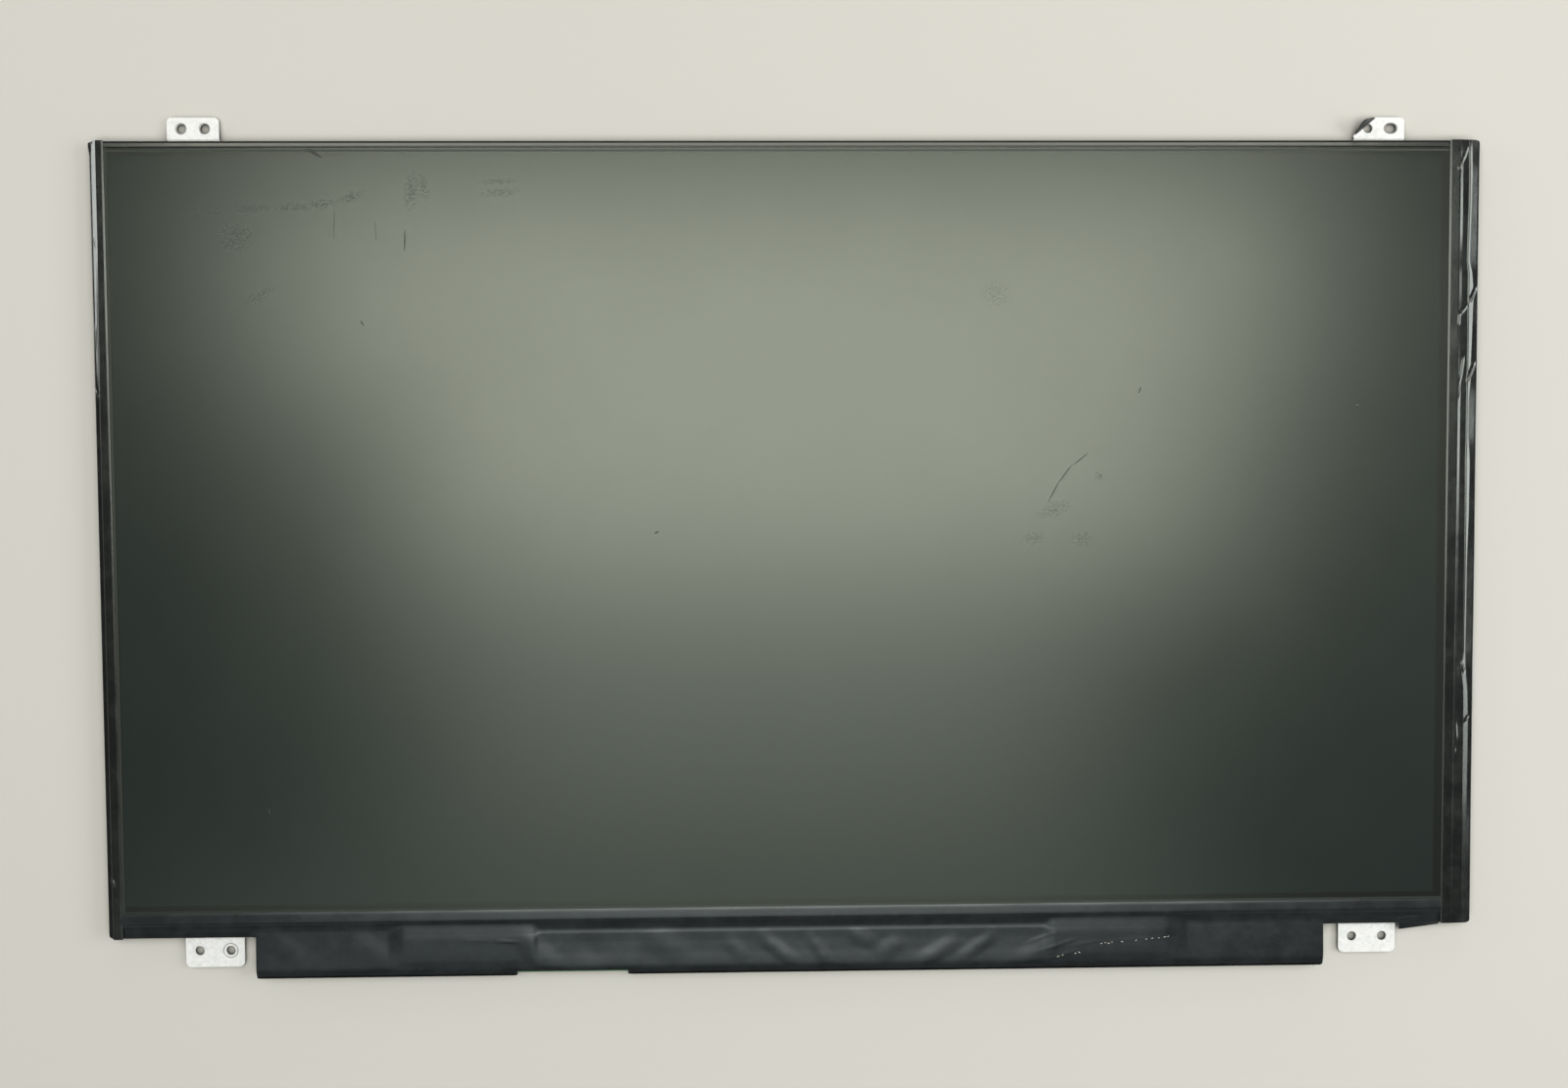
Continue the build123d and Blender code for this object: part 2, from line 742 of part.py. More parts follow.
pieces = {
    "back_plate": back_plate(),
    "mould_frame": mould_frame(),
    "reflector_sheet": optical_sheet(plate_high, reflector_high),
    "light_guide": optical_sheet(reflector_high, guide_high),
    "lower_diffuser": optical_sheet(guide_high, lower_diffuser_high),
    "lower_prism_sheet": optical_sheet(lower_diffuser_high, lower_prism_high),
    "upper_prism_sheet": optical_sheet(lower_prism_high, upper_prism_high),
    "upper_diffuser": optical_sheet(upper_prism_high, upper_diffuser_high),
    "light_bar_flex": light_bar_flex(),
    "light_bar_diodes": light_bar_diodes(),
    "rim_tape": rim_tape(),
    "rear_polariser": rear_polariser(),
    "transistor_glass": slab(cell_left, transistor_right, transistor_bottom, cell_top,
                             rim_high, transistor_high),
    "filter_glass": slab(cell_left, filter_right, filter_bottom, cell_top, transistor_high, filter_high),
    "front_polariser": slab(polariser_left, polariser_right, polariser_bottom, polariser_top,
                            filter_high, polariser_high),
    "gate_drivers": gate_drivers(),
    "source_film_left": source_film(-source_film_offset),
    "source_film_right": source_film(source_film_offset),
    "source_driver_left": source_driver(-source_film_offset),
    "source_driver_right": source_driver(source_film_offset),
    "control_board": control_board(),
    "timing_controller": timing_controller(),
    "backlight_driver": backlight_driver(),
    "power_coil": power_coil(),
    "board_capacitors": board_capacitors(),
    "light_bar_socket": light_bar_socket(),
    "signal_socket_housing": signal_socket_housing(),
    "signal_socket_contacts": signal_socket_contacts(),
    "signal_socket_shell": signal_socket_shell(),
    "top_left_bracket": Pos(-top_tab_middle, body_top) * top_bracket(Circle(hole_radius)),
    "top_right_bracket": Pos(top_tab_middle, body_top) * bent_top_bracket(),
    "bottom_left_bracket": Pos(-bottom_tab_middle, body_bottom) * bottom_bracket(),
    "bottom_right_bracket": Pos(bottom_tab_middle, body_bottom) * bottom_bracket(),
    "bracket_rivets": bracket_rivets(),
    "edge_tape_left": edge_tape_left(),
    "edge_tape_right": edge_tape_right(),
    "edge_tape_top": edge_tape_top(),
    "board_cover_film": board_cover_film(),
}

os.makedirs("parts", exist_ok=True)
for name, shape in pieces.items():
    export_step(shape, f"parts/{name}.step")
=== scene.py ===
# %% [markdown]
# # A slim laptop screen panel, lying on its back
# This lesson dresses a finished construction model. Every rigid piece is already there, in metres,
# and stays where it is. What is made here is the finish of each surface, and the thin film tapes,
# which crease and lift on the real panel and so are modelled as sheets.

# %% Load the construction model
import json
import math
import bmesh
import bpy
from mathutils import Matrix, Vector, noise


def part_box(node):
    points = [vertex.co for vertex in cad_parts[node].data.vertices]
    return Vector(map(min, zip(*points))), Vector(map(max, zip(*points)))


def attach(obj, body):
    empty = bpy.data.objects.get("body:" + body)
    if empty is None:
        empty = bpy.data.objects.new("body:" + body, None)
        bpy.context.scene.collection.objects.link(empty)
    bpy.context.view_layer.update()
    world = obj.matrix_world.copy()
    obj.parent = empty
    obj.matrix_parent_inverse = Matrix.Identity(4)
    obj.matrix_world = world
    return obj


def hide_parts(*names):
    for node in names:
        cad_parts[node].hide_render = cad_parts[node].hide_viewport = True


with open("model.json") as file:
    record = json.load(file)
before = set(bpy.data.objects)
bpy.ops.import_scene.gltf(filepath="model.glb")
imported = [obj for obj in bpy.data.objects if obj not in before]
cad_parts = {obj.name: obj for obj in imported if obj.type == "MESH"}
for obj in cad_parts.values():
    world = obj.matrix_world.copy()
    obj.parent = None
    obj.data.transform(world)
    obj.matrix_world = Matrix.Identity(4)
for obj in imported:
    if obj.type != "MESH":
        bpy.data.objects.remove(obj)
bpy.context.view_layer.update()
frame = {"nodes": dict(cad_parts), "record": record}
MM = 0.001
print("pieces in the model:", len(frame["nodes"]))

# %% [markdown]
# ## Camera
# The panel is seen from almost straight above, by a lens a little wider than a normal one. The
# camera's three directions are written as a rotation matrix, because that gives the small tilts
# exactly, where three turns in a row are easy to mix up.

# %% Camera
PHOTO_WIDTH = 1600
FOCAL_PIXELS = 1300
camera_data = bpy.data.cameras.new("camera")
camera_data.sensor_width = 36.0
camera_data.lens = camera_data.sensor_width * FOCAL_PIXELS / PHOTO_WIDTH
camera_data.clip_start = 0.01
camera = bpy.data.objects.new("camera", camera_data)
camera_right = Vector((0.99979, -0.00609, 0.0198))
camera_up = Vector((0.00681, 0.99931, -0.03663))
camera_back = camera_right.cross(camera_up)
turn = Matrix((camera_right, camera_up, camera_back)).transposed()
camera_place = Vector((-9.1, 13.56, 334.9)) * MM
camera.matrix_world = Matrix.Translation(camera_place) @ turn.to_4x4()
bpy.context.scene.collection.objects.link(camera)
bpy.context.scene.camera = camera
print("lens", round(camera_data.lens, 2), "mm")

# %% [markdown]
# ## Colours and nodes
# Colours are picked as sRGB hex values, as on a colour chart, but a shader works with linear light.
# One function turns the one into the other. A second small function adds a node, sets its properties
# and feeds its inputs, so that each material below reads like a list of what it is made of.


# %% Colour and node helpers
def colour(hex_code):
    """An sRGB hex colour as linear red, green, blue and alpha."""
    channels = [int(hex_code[i:i + 2], 16) / 255 for i in (1, 3, 5)]
    linear = [c / 12.92 if c <= 0.04045 else ((c + 0.055) / 1.055) ** 2.4 for c in channels]
    return (*linear, 1.0)


def add_node(tree, kind, inputs=None, **settings):
    """Add a node with its settings; each input gets a value or the socket that feeds it."""
    made = tree.nodes.new(kind)
    for name, value in settings.items():
        setattr(made, name, value)
    for name, value in (inputs or {}).items():
        if isinstance(value, bpy.types.NodeSocket):
            tree.links.new(value, made.inputs[name])
        else:
            made.inputs[name].default_value = value
    return made


def new_material(name, **sockets):
    """A material with one Principled shader; gives its tree, the shader and the object coordinates."""
    made = bpy.data.materials.new(name)
    made.use_nodes = True
    tree = made.node_tree
    shader = tree.nodes["Principled BSDF"]
    for socket, value in sockets.items():
        shader.inputs[socket.replace("_", " ")].default_value = value
    place = add_node(tree, "ShaderNodeTexCoord").outputs["Object"]
    return made, tree, shader, place


MIX_A, MIX_B, MIX_RESULT = 6, 7, 2
print("helpers ready")

# %% [markdown]
# ## Room, floor and light
# A matte screen is nearly black, so what the eye sees on it is a blurred mirror image of the room:
# here four softboxes overhead, each narrower or dimmer than the one above it, a dark ceiling round
# them, paler walls, and low strip lights at three sides that pick out the creases of the tape. A fill
# light that no mirror image shows lifts the pale surfaces. The floor has painted shade: its colour is
# darkened where something stands close over it, a painted shadow under and round the panel.

# %% Floor
FLOOR_SIZE = 8.0
floor_mesh = bpy.data.meshes.new("floor")
bm = bmesh.new()
bmesh.ops.create_grid(bm, x_segments=1, y_segments=1, size=FLOOR_SIZE / 2)
bm.to_mesh(floor_mesh)
bm.free()
floor = bpy.data.objects.new("floor", floor_mesh)
bpy.context.scene.collection.objects.link(floor)
floor_paint, tree, shader, place = new_material("pale_floor", Roughness=0.9, Specular_IOR_Level=0.2)
cloud = add_node(tree, "ShaderNodeTexNoise", {"Vector": place, "Scale": 3.0, "Detail": 3.0})
open_tone = add_node(tree, "ShaderNodeMix", {0: cloud.outputs["Fac"], MIX_A: colour("#d6d4ce"),
                                             MIX_B: colour("#dcdad4")}, data_type="RGBA")
# Painted shade: an ambient occlusion node darkens the floor's colour towards #3c3b38 within 4 mm of anything
# over it.
PAINTED_SHADE_REACH = 4 * MM
near = add_node(tree, "ShaderNodeAmbientOcclusion", {"Distance": PAINTED_SHADE_REACH})
painted_contact_shade = add_node(tree, "ShaderNodeMapRange", {"Value": near.outputs["AO"], "From Min": 0.3,
                                                "From Max": 0.9})
mix = add_node(tree, "ShaderNodeMix", {0: painted_contact_shade.outputs["Result"], MIX_A: colour("#3c3b38"),
                                       MIX_B: open_tone.outputs[MIX_RESULT]}, data_type="RGBA")
tree.links.new(mix.outputs[MIX_RESULT], shader.inputs["Base Color"])
floor_mesh.materials.append(floor_paint)
print("floor", FLOOR_SIZE, "m wide")

# %% Room
world = bpy.data.worlds.new("room")
bpy.context.scene.world = world
world.use_nodes = True
tree = world.node_tree
backdrop = tree.nodes["Background"]
direction = add_node(tree, "ShaderNodeTexCoord").outputs["Generated"]
height = add_node(tree, "ShaderNodeSeparateXYZ", {"Vector": direction}).outputs["Z"]
WALL_TOP, CEILING_START = 0.35, 0.7
fade = add_node(tree, "ShaderNodeMapRange", {"Value": height, "From Min": WALL_TOP,
                                             "From Max": CEILING_START}, interpolation_type="SMOOTHSTEP")
walls = add_node(tree, "ShaderNodeMix", {0: fade.outputs["Result"], MIX_A: colour("#8f8f8d"),
                                         MIX_B: colour("#363838")}, data_type="RGBA")
tree.links.new(walls.outputs[MIX_RESULT], backdrop.inputs["Color"])
bpy.context.scene.view_settings.view_transform = "Standard"
print("walls up to", WALL_TOP, "and ceiling from", CEILING_START)


# %% Lamps
def softbox(name, place, aim, width, height, radiance, tint):
    """A rectangular lamp of even brightness, turned to face a point."""
    lamp = bpy.data.lights.new(name, "AREA")
    lamp.shape = "RECTANGLE"
    lamp.size = width
    lamp.size_y = height
    lamp.energy = radiance * math.pi * width * height
    lamp.color = colour(tint)[:3]
    holder = bpy.data.objects.new(name, lamp)
    towards = (Vector(aim) - Vector(place)).normalized()
    holder.matrix_world = Matrix.Translation(place) @ towards.to_track_quat("-Z", "Y").to_matrix().to_4x4()
    holder.visible_camera = False
    bpy.context.scene.collection.objects.link(holder)
    return holder


softbox("upper_softbox", (0.015, 0.28, 1.2), (0.015, 0.28, 0.0), 1.23, 0.26, 5.2, "#fffdf6")
softbox("middle_softbox", (0.06, 0.035, 1.2), (0.06, 0.035, 0.0), 0.97, 0.18, 5.4, "#fffdf6")
softbox("lower_softbox", (0.0, -0.055, 1.2), (0.0, -0.055, 0.0), 0.79, 0.69, 1.4, "#fbfff8")
softbox("dim_softbox", (-0.1, -0.64, 1.2), (-0.1, -0.64, 0.0), 1.3, 0.36, 0.6, "#f6fffb")
softbox("left_strip", (-1.1, 0.33, 0.2), (0, 0.1, 0), 0.4, 0.34, 5.5, "#ffffff")
softbox("right_strip", (1.1, 0.06, 0.48), (0, 0.06, 0), 0.8, 0.42, 6.5, "#ffffff")
softbox("top_strip", (0.0, 1.15, 0.23), (0, 0.1, 0), 1.3, 0.28, 3.2, "#fff8ea")
fill = softbox("fill", (0.0, 0.0, 1.7), (0, 0, 0), 1.6, 1.6, 0.26, "#ffffff")
fill.visible_glossy = False

# %% [markdown]
# ## Anti-glare film on the screen
# The front of the screen is a plastic polariser with a hard, finely frosted coat. It is black
# behind, with a faint green cast, and its frosting blurs every reflection. Smudges, dried drops and
# scratches scuff the frosting: there the reflection spreads even wider and the mark looks dark.
# Each mark is an ellipse that a Mapping node centres and turns on the film.

# %% Marks on the screen: middle x and y, half length, half width (mm), turn (degrees), strength
SMUDGES = [
    (-150.0, 87.4, 8.0, 1.2, 2, 0.3),
    (-138.0, 88.4, 6.0, 1.6, 4, 0.36),
    (-128.0, 88.6, 6.0, 1.3, 0, 0.45),
    (-120.5, 89.4, 5.0, 1.5, 6, 0.4),
    (-113.0, 91.2, 4.5, 1.6, 22, 0.42),
    (-97.8, 92.8, 2.2, 6.0, -6, 0.5),
    (-94.6, 93.6, 1.6, 4.6, 10, 0.4),
    (-75.5, 95.0, 6.0, 0.9, 2, 0.5),
    (-75.0, 92.2, 6.5, 1.4, 5, 0.45),
    (-142.8, 81.0, 6.0, 5.0, 0, 0.3),
    (68.0, 9.8, 5.6, 2.6, 20, 0.36),
    (62.8, 2.4, 3.6, 2.2, 0, 0.36),
    (75.7, 2.1, 3.6, 2.5, 0, 0.36),
    (80.0, 18.7, 1.4, 1.4, 0, 0.5),
    (-137.0, 66.0, 6.0, 2.0, 30, 0.25),
    (53.0, 66.0, 5.0, 5.0, 0, 0.2),
]
SCRATCHES = [
    (68.0, 14.6, 3.6, 0.2, 62, 1.0),
    (71.0, 19.2, 3.2, 0.2, 54, 1.0),
    (75.0, 23.0, 2.8, 0.18, 40, 0.9),
    (-99.6, 80.0, 2.9, 0.22, 88, 0.9),
    (-110.8, 58.9, 0.9, 0.22, 120, 0.9),
    (90.5, 40.9, 1.0, 0.2, 70, 1.0),
    (147.9, 36.8, 0.5, 0.3, 0, 1.0),
    (-35.7, 4.6, 0.7, 0.25, 30, 0.9),
    (-137.2, -67.5, 0.8, 0.2, 100, 0.6),
    (-122.4, 102.3, 2.6, 0.45, -32, 1.0),
    (-117.6, 84.0, 4.0, 0.18, 88, 0.35),
    (-107.0, 82.5, 3.0, 0.16, 92, 0.3),
]
EDGE_DIRT = [
    (-2.0, 102.9, 300.0, 0.34, 0, 0.75),
    (-175.35, 4.0, 300.0, 0.4, 90, 0.8),
    (-2.0, -93.8, 300.0, 0.34, 0, 0.5),
]

# %% Anti-glare film
screen_film, tree, shader, place = new_material("anti_glare_triacetate", IOR=1.76)
shader.inputs["Specular Tint"].default_value = colour("#f6ffee")
screen_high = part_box("front_polariser")[1]
picture_low = Vector((-174.78, -92.17, 0)) * MM
picture_high = Vector((169.38, 101.37, 0)) * MM
picture_middle = (picture_low + picture_high) / 2
picture_half = (picture_high - picture_low) / 2
offset = add_node(tree, "ShaderNodeVectorMath", {0: place, 1: picture_middle}, operation="SUBTRACT")
distance = add_node(tree, "ShaderNodeVectorMath", {0: offset.outputs[0]}, operation="ABSOLUTE")
inside = add_node(tree, "ShaderNodeVectorMath", {0: picture_half, 1: distance.outputs[0]},
                  operation="SUBTRACT")
edge = add_node(tree, "ShaderNodeSeparateXYZ", {"Vector": inside.outputs[0]})
nearest = add_node(tree, "ShaderNodeMath", {0: edge.outputs["X"], 1: edge.outputs["Y"]},
                   operation="MINIMUM")
BORDER_BLUR = 0.15 * MM
picture = add_node(tree, "ShaderNodeMapRange", {"Value": nearest.outputs[0], "From Min": -BORDER_BLUR,
                                                "From Max": BORDER_BLUR})
tone = add_node(tree, "ShaderNodeTexNoise", {"Vector": place, "Scale": 1 / (40 * MM), "Detail": 2.0})
panel_tone = add_node(tree, "ShaderNodeMix", {0: tone.outputs["Fac"], MIX_A: colour("#1b2221"),
                                              MIX_B: colour("#1e2524")}, data_type="RGBA")
base = add_node(tree, "ShaderNodeMix", {0: picture.outputs["Result"], MIX_A: colour("#141616"),
                                        MIX_B: panel_tone.outputs[MIX_RESULT]}, data_type="RGBA")
tree.links.new(base.outputs[MIX_RESULT], shader.inputs["Base Color"])

# %% Scuffed places on the film
SPECK = 0.5 * MM
drawn_out = add_node(tree, "ShaderNodeMapping", {"Vector": place, "Scale": (0.6, 1, 1)})
specks = add_node(tree, "ShaderNodeTexNoise", {"Vector": drawn_out.outputs[0], "Scale": 1 / SPECK,
                                               "Detail": 4.0, "Roughness": 0.7})
blotchy = add_node(tree, "ShaderNodeMapRange", {"Value": specks.outputs["Fac"], "From Min": 0.44,
                                                "From Max": 0.62})
scuffed = None
for marks, full_at, patchy in ((SMUDGES, 0.9, True), (SCRATCHES, 0.4, False), (EDGE_DIRT, 0.4, False)):
    for x, y, half_length, half_width, turn_degrees, strength in marks:
        mapped = add_node(tree, "ShaderNodeMapping", {
            "Vector": place, "Location": Vector((x, y, screen_high.z / MM)) * MM,
            "Rotation": (0, 0, math.radians(turn_degrees)),
            "Scale": (half_length * MM, half_width * MM, 1.0)}, vector_type="TEXTURE")
        spot = add_node(tree, "ShaderNodeTexGradient", {"Vector": mapped.outputs[0]},
                        gradient_type="SPHERICAL")
        weight = add_node(tree, "ShaderNodeMapRange", {"Value": spot.outputs["Fac"], "From Max": full_at,
                                                       "To Max": strength})
        mark = weight.outputs["Result"]
        if patchy:
            mark = add_node(tree, "ShaderNodeMath", {0: mark, 1: blotchy.outputs["Result"]},
                            operation="MULTIPLY").outputs[0]
        if scuffed is None:
            scuffed = mark
        else:
            scuffed = add_node(tree, "ShaderNodeMath", {0: scuffed, 1: mark},
                               operation="MAXIMUM").outputs[0]
frost = add_node(tree, "ShaderNodeTexNoise", {"Vector": place, "Scale": 1 / (30 * MM), "Detail": 6.0})
clean_rough = add_node(tree, "ShaderNodeMapRange", {"Value": frost.outputs["Fac"], "To Min": 0.23,
                                                    "To Max": 0.27})
rough = add_node(tree, "ShaderNodeMapRange", {"Value": scuffed, "To Min": clean_rough.outputs["Result"],
                                              "To Max": 0.6})
tree.links.new(rough.outputs["Result"], shader.inputs["Roughness"])

# %% Frosting: the real grain is about 0.03 mm wide, drawn at 0.3 mm so that it shows
GRAIN = 0.3 * MM
grain = add_node(tree, "ShaderNodeTexNoise", {"Vector": place, "Scale": 1 / GRAIN, "Detail": 2.0})
frosting = add_node(tree, "ShaderNodeBump", {"Height": grain.outputs["Fac"], "Strength": 0.5,
                                             "Distance": 0.03 * MM})
tree.links.new(frosting.outputs["Normal"], shader.inputs["Normal"])
print("marks on the screen:", len(SMUDGES) + len(SCRATCHES) + len(EDGE_DIRT))

# %% [markdown]
# ## Black film tape
# The edges are covered by black polyester tape, smooth from the calender and so quite glossy, and
# the control board by a wider, more satin sheet of the same. Both get a faint mottle, dust and
# fine crazing, because a clean even black reads as a hole rather than as film.


# %% Black polyester film
def polyester_film(name, base_hex, dusty_hex, low_gloss, high_gloss, tint_hex):
    """Black film whose gloss and dust vary a little over the sheet."""
    made, tree, shader, place = new_material(name, IOR=1.65, Specular_Tint=colour(tint_hex))
    dust = add_node(tree, "ShaderNodeTexNoise", {"Vector": place, "Scale": 1 / (6 * MM), "Detail": 8.0,
                                                 "Roughness": 0.7})
    settled = add_node(tree, "ShaderNodeMapRange", {"Value": dust.outputs["Fac"], "From Min": 0.45,
                                                    "From Max": 0.8})
    tone = add_node(tree, "ShaderNodeMix", {0: settled.outputs["Result"], MIX_A: colour(base_hex),
                                            MIX_B: colour(dusty_hex)}, data_type="RGBA")
    tree.links.new(tone.outputs[MIX_RESULT], shader.inputs["Base Color"])
    gloss = add_node(tree, "ShaderNodeMapRange", {"Value": dust.outputs["Fac"], "From Min": 0.3,
                                                  "From Max": 0.7, "To Min": low_gloss, "To Max": high_gloss})
    tree.links.new(gloss.outputs["Result"], shader.inputs["Roughness"])
    crazing = add_node(tree, "ShaderNodeTexNoise", {"Vector": place, "Scale": 1 / (0.9 * MM),
                                                    "Detail": 3.0})
    bump = add_node(tree, "ShaderNodeBump", {"Height": crazing.outputs["Fac"], "Strength": 0.25,
                                             "Distance": 0.05 * MM})
    tree.links.new(bump.outputs["Normal"], shader.inputs["Normal"])
    return made


edge_film = polyester_film("black_polyester_tape", "#191a1a", "#2b2c2b", 0.16, 0.26, "#f6fff8")
cover_film = polyester_film("satin_polyester_film", "#181a1b", "#282b2c", 0.26, 0.34, "#f0faff")
print("films:", edge_film.name, cover_film.name)

# %% [markdown]
# ## Galvanised steel
# The brackets are stamped from hot-dip galvanised sheet. Zinc freezes in flat crystals, the spangle,
# about a millimetre wide, each a slightly different grey and gloss: that is what Voronoi cells give.
# Where a corner of a tab is turned up, the steel is painted near black as painted shade.

# %% Galvanised steel
SPANGLE = 0.9 * MM
steel, tree, shader, place = new_material("galvanised_steel", Metallic=0.06)
spangle = add_node(tree, "ShaderNodeTexVoronoi", {"Vector": place, "Scale": 1 / SPANGLE, "Randomness": 1.0})
shade = add_node(tree, "ShaderNodeSeparateColor", {"Color": spangle.outputs["Color"]})
zinc = add_node(tree, "ShaderNodeMix", {0: shade.outputs["Red"], MIX_A: colour("#f4f6f5"),
                                        MIX_B: colour("#ffffff")}, data_type="RGBA")
smear = add_node(tree, "ShaderNodeTexNoise", {"Vector": place, "Scale": 1 / (1.2 * MM), "Detail": 6.0})
grime = add_node(tree, "ShaderNodeMapRange", {"Value": smear.outputs["Fac"], "From Min": 0.5,
                                              "From Max": 0.75, "To Max": 0.28})
dulled = add_node(tree, "ShaderNodeMix", {0: grime.outputs["Result"], MIX_A: zinc.outputs[MIX_RESULT],
                                          MIX_B: colour("#a9aeae")}, data_type="RGBA")
# Painted shade: steel that rises 0.15 to 0.4 mm above the tab's face, on its turned-up corner, is painted
# near black.
TAB_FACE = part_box("top_left_bracket")[1].z
height = add_node(tree, "ShaderNodeSeparateXYZ", {"Vector": place}).outputs["Z"]
BEND_SHADE_START, BEND_SHADE_FULL = 0.15 * MM, 0.4 * MM
bent_corner_shade = add_node(tree, "ShaderNodeMapRange", {"Value": height, "From Min": TAB_FACE + BEND_SHADE_START,
                                             "From Max": TAB_FACE + BEND_SHADE_FULL})
steel_with_painted_shade = add_node(tree, "ShaderNodeMix", {0: bent_corner_shade.outputs["Result"], MIX_A: dulled.outputs[MIX_RESULT],
                                              MIX_B: colour("#2e302f")}, data_type="RGBA")
tree.links.new(steel_with_painted_shade.outputs[MIX_RESULT], shader.inputs["Base Color"])
polish = add_node(tree, "ShaderNodeMapRange", {"Value": shade.outputs["Green"], "To Min": 0.42,
                                               "To Max": 0.58})
tree.links.new(polish.outputs["Result"], shader.inputs["Roughness"])
dimple = add_node(tree, "ShaderNodeBump", {"Height": smear.outputs["Fac"], "Strength": 0.15,
                                           "Distance": 0.05 * MM})
tree.links.new(dimple.outputs["Normal"], shader.inputs["Normal"])
print("zinc crystals about", round(SPANGLE / MM, 2), "mm wide")

# %% [markdown]
# ## Other finishes
# The pieces that show only from the sides, from behind or through gaps have plainer finishes. Each
# is a base colour that a noise pattern varies, with a gloss to suit, so one function makes them all.


# %% Plain finishes
def mottled(name, light_hex, dark_hex, spot_mm, low_rough, high_rough, stretch=(1, 1, 1), **sockets):
    """A finish that varies between two tones and two degrees of gloss, in spots of a real size."""
    made, tree, shader, place = new_material(name, **sockets)
    stretched = add_node(tree, "ShaderNodeMapping", {"Vector": place, "Scale": stretch})
    spots = add_node(tree, "ShaderNodeTexNoise", {"Vector": stretched.outputs[0], "Scale": 1 / (spot_mm * MM),
                                                  "Detail": 5.0})
    tone = add_node(tree, "ShaderNodeMix", {0: spots.outputs["Fac"], MIX_A: colour(dark_hex),
                                            MIX_B: colour(light_hex)}, data_type="RGBA")
    tree.links.new(tone.outputs[MIX_RESULT], shader.inputs["Base Color"])
    gloss = add_node(tree, "ShaderNodeMapRange", {"Value": spots.outputs["Fac"], "To Min": low_rough,
                                                  "To Max": high_rough})
    tree.links.new(gloss.outputs["Result"], shader.inputs["Roughness"])
    bump = add_node(tree, "ShaderNodeBump", {"Height": spots.outputs["Fac"], "Strength": 0.1,
                                             "Distance": 0.02 * MM})
    tree.links.new(bump.outputs["Normal"], shader.inputs["Normal"])
    return made


finishes = {
    "anti_glare_film": screen_film,
    "black_tape": edge_film,
    "galvanised_steel": steel,
    "dark_film": mottled("polariser_film", "#3a3d40", "#2c2e31", 5.0, 0.25, 0.35, IOR=1.5),
    "panel_glass": mottled("display_glass", "#55605c", "#4a5551", 8.0, 0.05, 0.1, IOR=1.52),
    "black_moulding": mottled("black_polycarbonate", "#1b1b1c", "#101011", 0.4, 0.45, 0.6, IOR=1.58),
    "aluminium_sheet": mottled("rolled_aluminium", "#d6d7d8", "#b4b6b8", 0.5, 0.3, 0.45,
                               stretch=(0.03, 1, 1), Metallic=1.0),
    "white_film": mottled("white_polyester_film", "#f2f2ef", "#e6e6e3", 2.0, 0.5, 0.6, IOR=1.55),
    "clear_acrylic": mottled("acrylic_sheet", "#e3e8e8", "#d6dcdc", 6.0, 0.08, 0.15, IOR=1.49),
    "amber_film": mottled("polyimide_film", "#b9772a", "#9b5d1c", 0.8, 0.3, 0.45, IOR=1.6),
    "chip_epoxy": mottled("moulding_epoxy", "#26272a", "#17181a", 0.3, 0.5, 0.65, IOR=1.55),
    "green_board": mottled("solder_mask_board", "#2c6b41", "#1d4a2c", 0.8, 0.25, 0.4, IOR=1.55),
    "tan_ceramic": mottled("tan_ceramic", "#b1926a", "#8d7350", 0.4, 0.4, 0.55, IOR=1.6),
    "white_package": mottled("white_package_plastic", "#f3efdc", "#e5dfc4", 0.5, 0.4, 0.5, IOR=1.5),
    "tinned_steel": mottled("tinned_steel", "#d9d8d3", "#b7b6b1", 0.7, 0.25, 0.4, Metallic=1.0),
    "gilt_contact": mottled("gold_flashed_copper", "#e3bd6a", "#b98f42", 0.4, 0.25, 0.4, Metallic=1.0),
}
print("finishes:", len(finishes))

# %% Dress the construction pieces
for subpart in frame["record"]["subparts"]:
    mesh = frame["nodes"][subpart["node"]].data
    mesh.materials.clear()
    mesh.materials.append(finishes[subpart["material_slot"]])

# %% [markdown]
# ## Film laid over the edges
# Each film starts as a flat grid and is raised to sections drawn at several places along its
# edge. Cloth simulation could drop it on to the pieces below, but a film's slopes decide which lamp it
# mirrors, and drawn sections give those slopes exactly. Creases are then pressed in, and the sheet gets
# its thickness last.

# %% Sizes of the film
FILM_THICK = 0.08 * MM
SKIRT_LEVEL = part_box("edge_tape_left")[0].z
body_low, body_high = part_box("mould_frame")
CORNER_RADIUS = 1.12 * MM
FOLD_RADIUS = 0.22 * MM
SHARP_EDGE = math.radians(50)
WALL_HIGH = 2.28 * MM
print("body", [round(c / MM, 2) for c in body_high - body_low], "mm")


# %% Creases and waves
def crease_height(point, creases, sharpness):
    """Lift of the film by its creases: start and end (mm), half width and height (mm)."""
    lift = 0.0
    for x1, y1, x2, y2, half_width, height in creases:
        start = Vector((x1, y1)) * MM
        along = Vector((x2, y2)) * MM - start
        share = (Vector(point[:2]) - start).dot(along) / along.length_squared
        nearest = start + along * min(max(share, 0), 1)
        off = (Vector(point[:2]) - nearest).length / (half_width * MM)
        if off < 1:
            ends = min(1, 3 * max(min(share, 1 - share), 0))
            lift += height * MM * ends * (0.5 + 0.5 * math.cos(math.pi * off)) ** sharpness
    return lift


def wave(point, length_mm, height_mm, seed):
    """Gentle unevenness of loose film, from zero up to the height."""
    scale = 1 / (length_mm * MM)
    sample = Vector((point.x * scale, point.y * scale, seed))
    return (noise.noise(sample) * 0.5 + 0.5) * height_mm * MM


# %% Make a film piece
def flat_film(left, right, bottom, top, step_x, step_y):
    """A flat grid of about the given steps (mm) over a rectangle."""
    bm = bmesh.new()
    columns = max(2, round((right - left) / (step_x * MM)))
    rows = max(2, round((top - bottom) / (step_y * MM)))
    fit = Matrix.Translation(((left + right) / 2, (bottom + top) / 2, 0)) @ Matrix.Diagonal(
        ((right - left) / 2, (top - bottom) / 2, 1, 1))
    bmesh.ops.create_grid(bm, x_segments=columns, y_segments=rows, size=1.0, matrix=fit)
    return bm


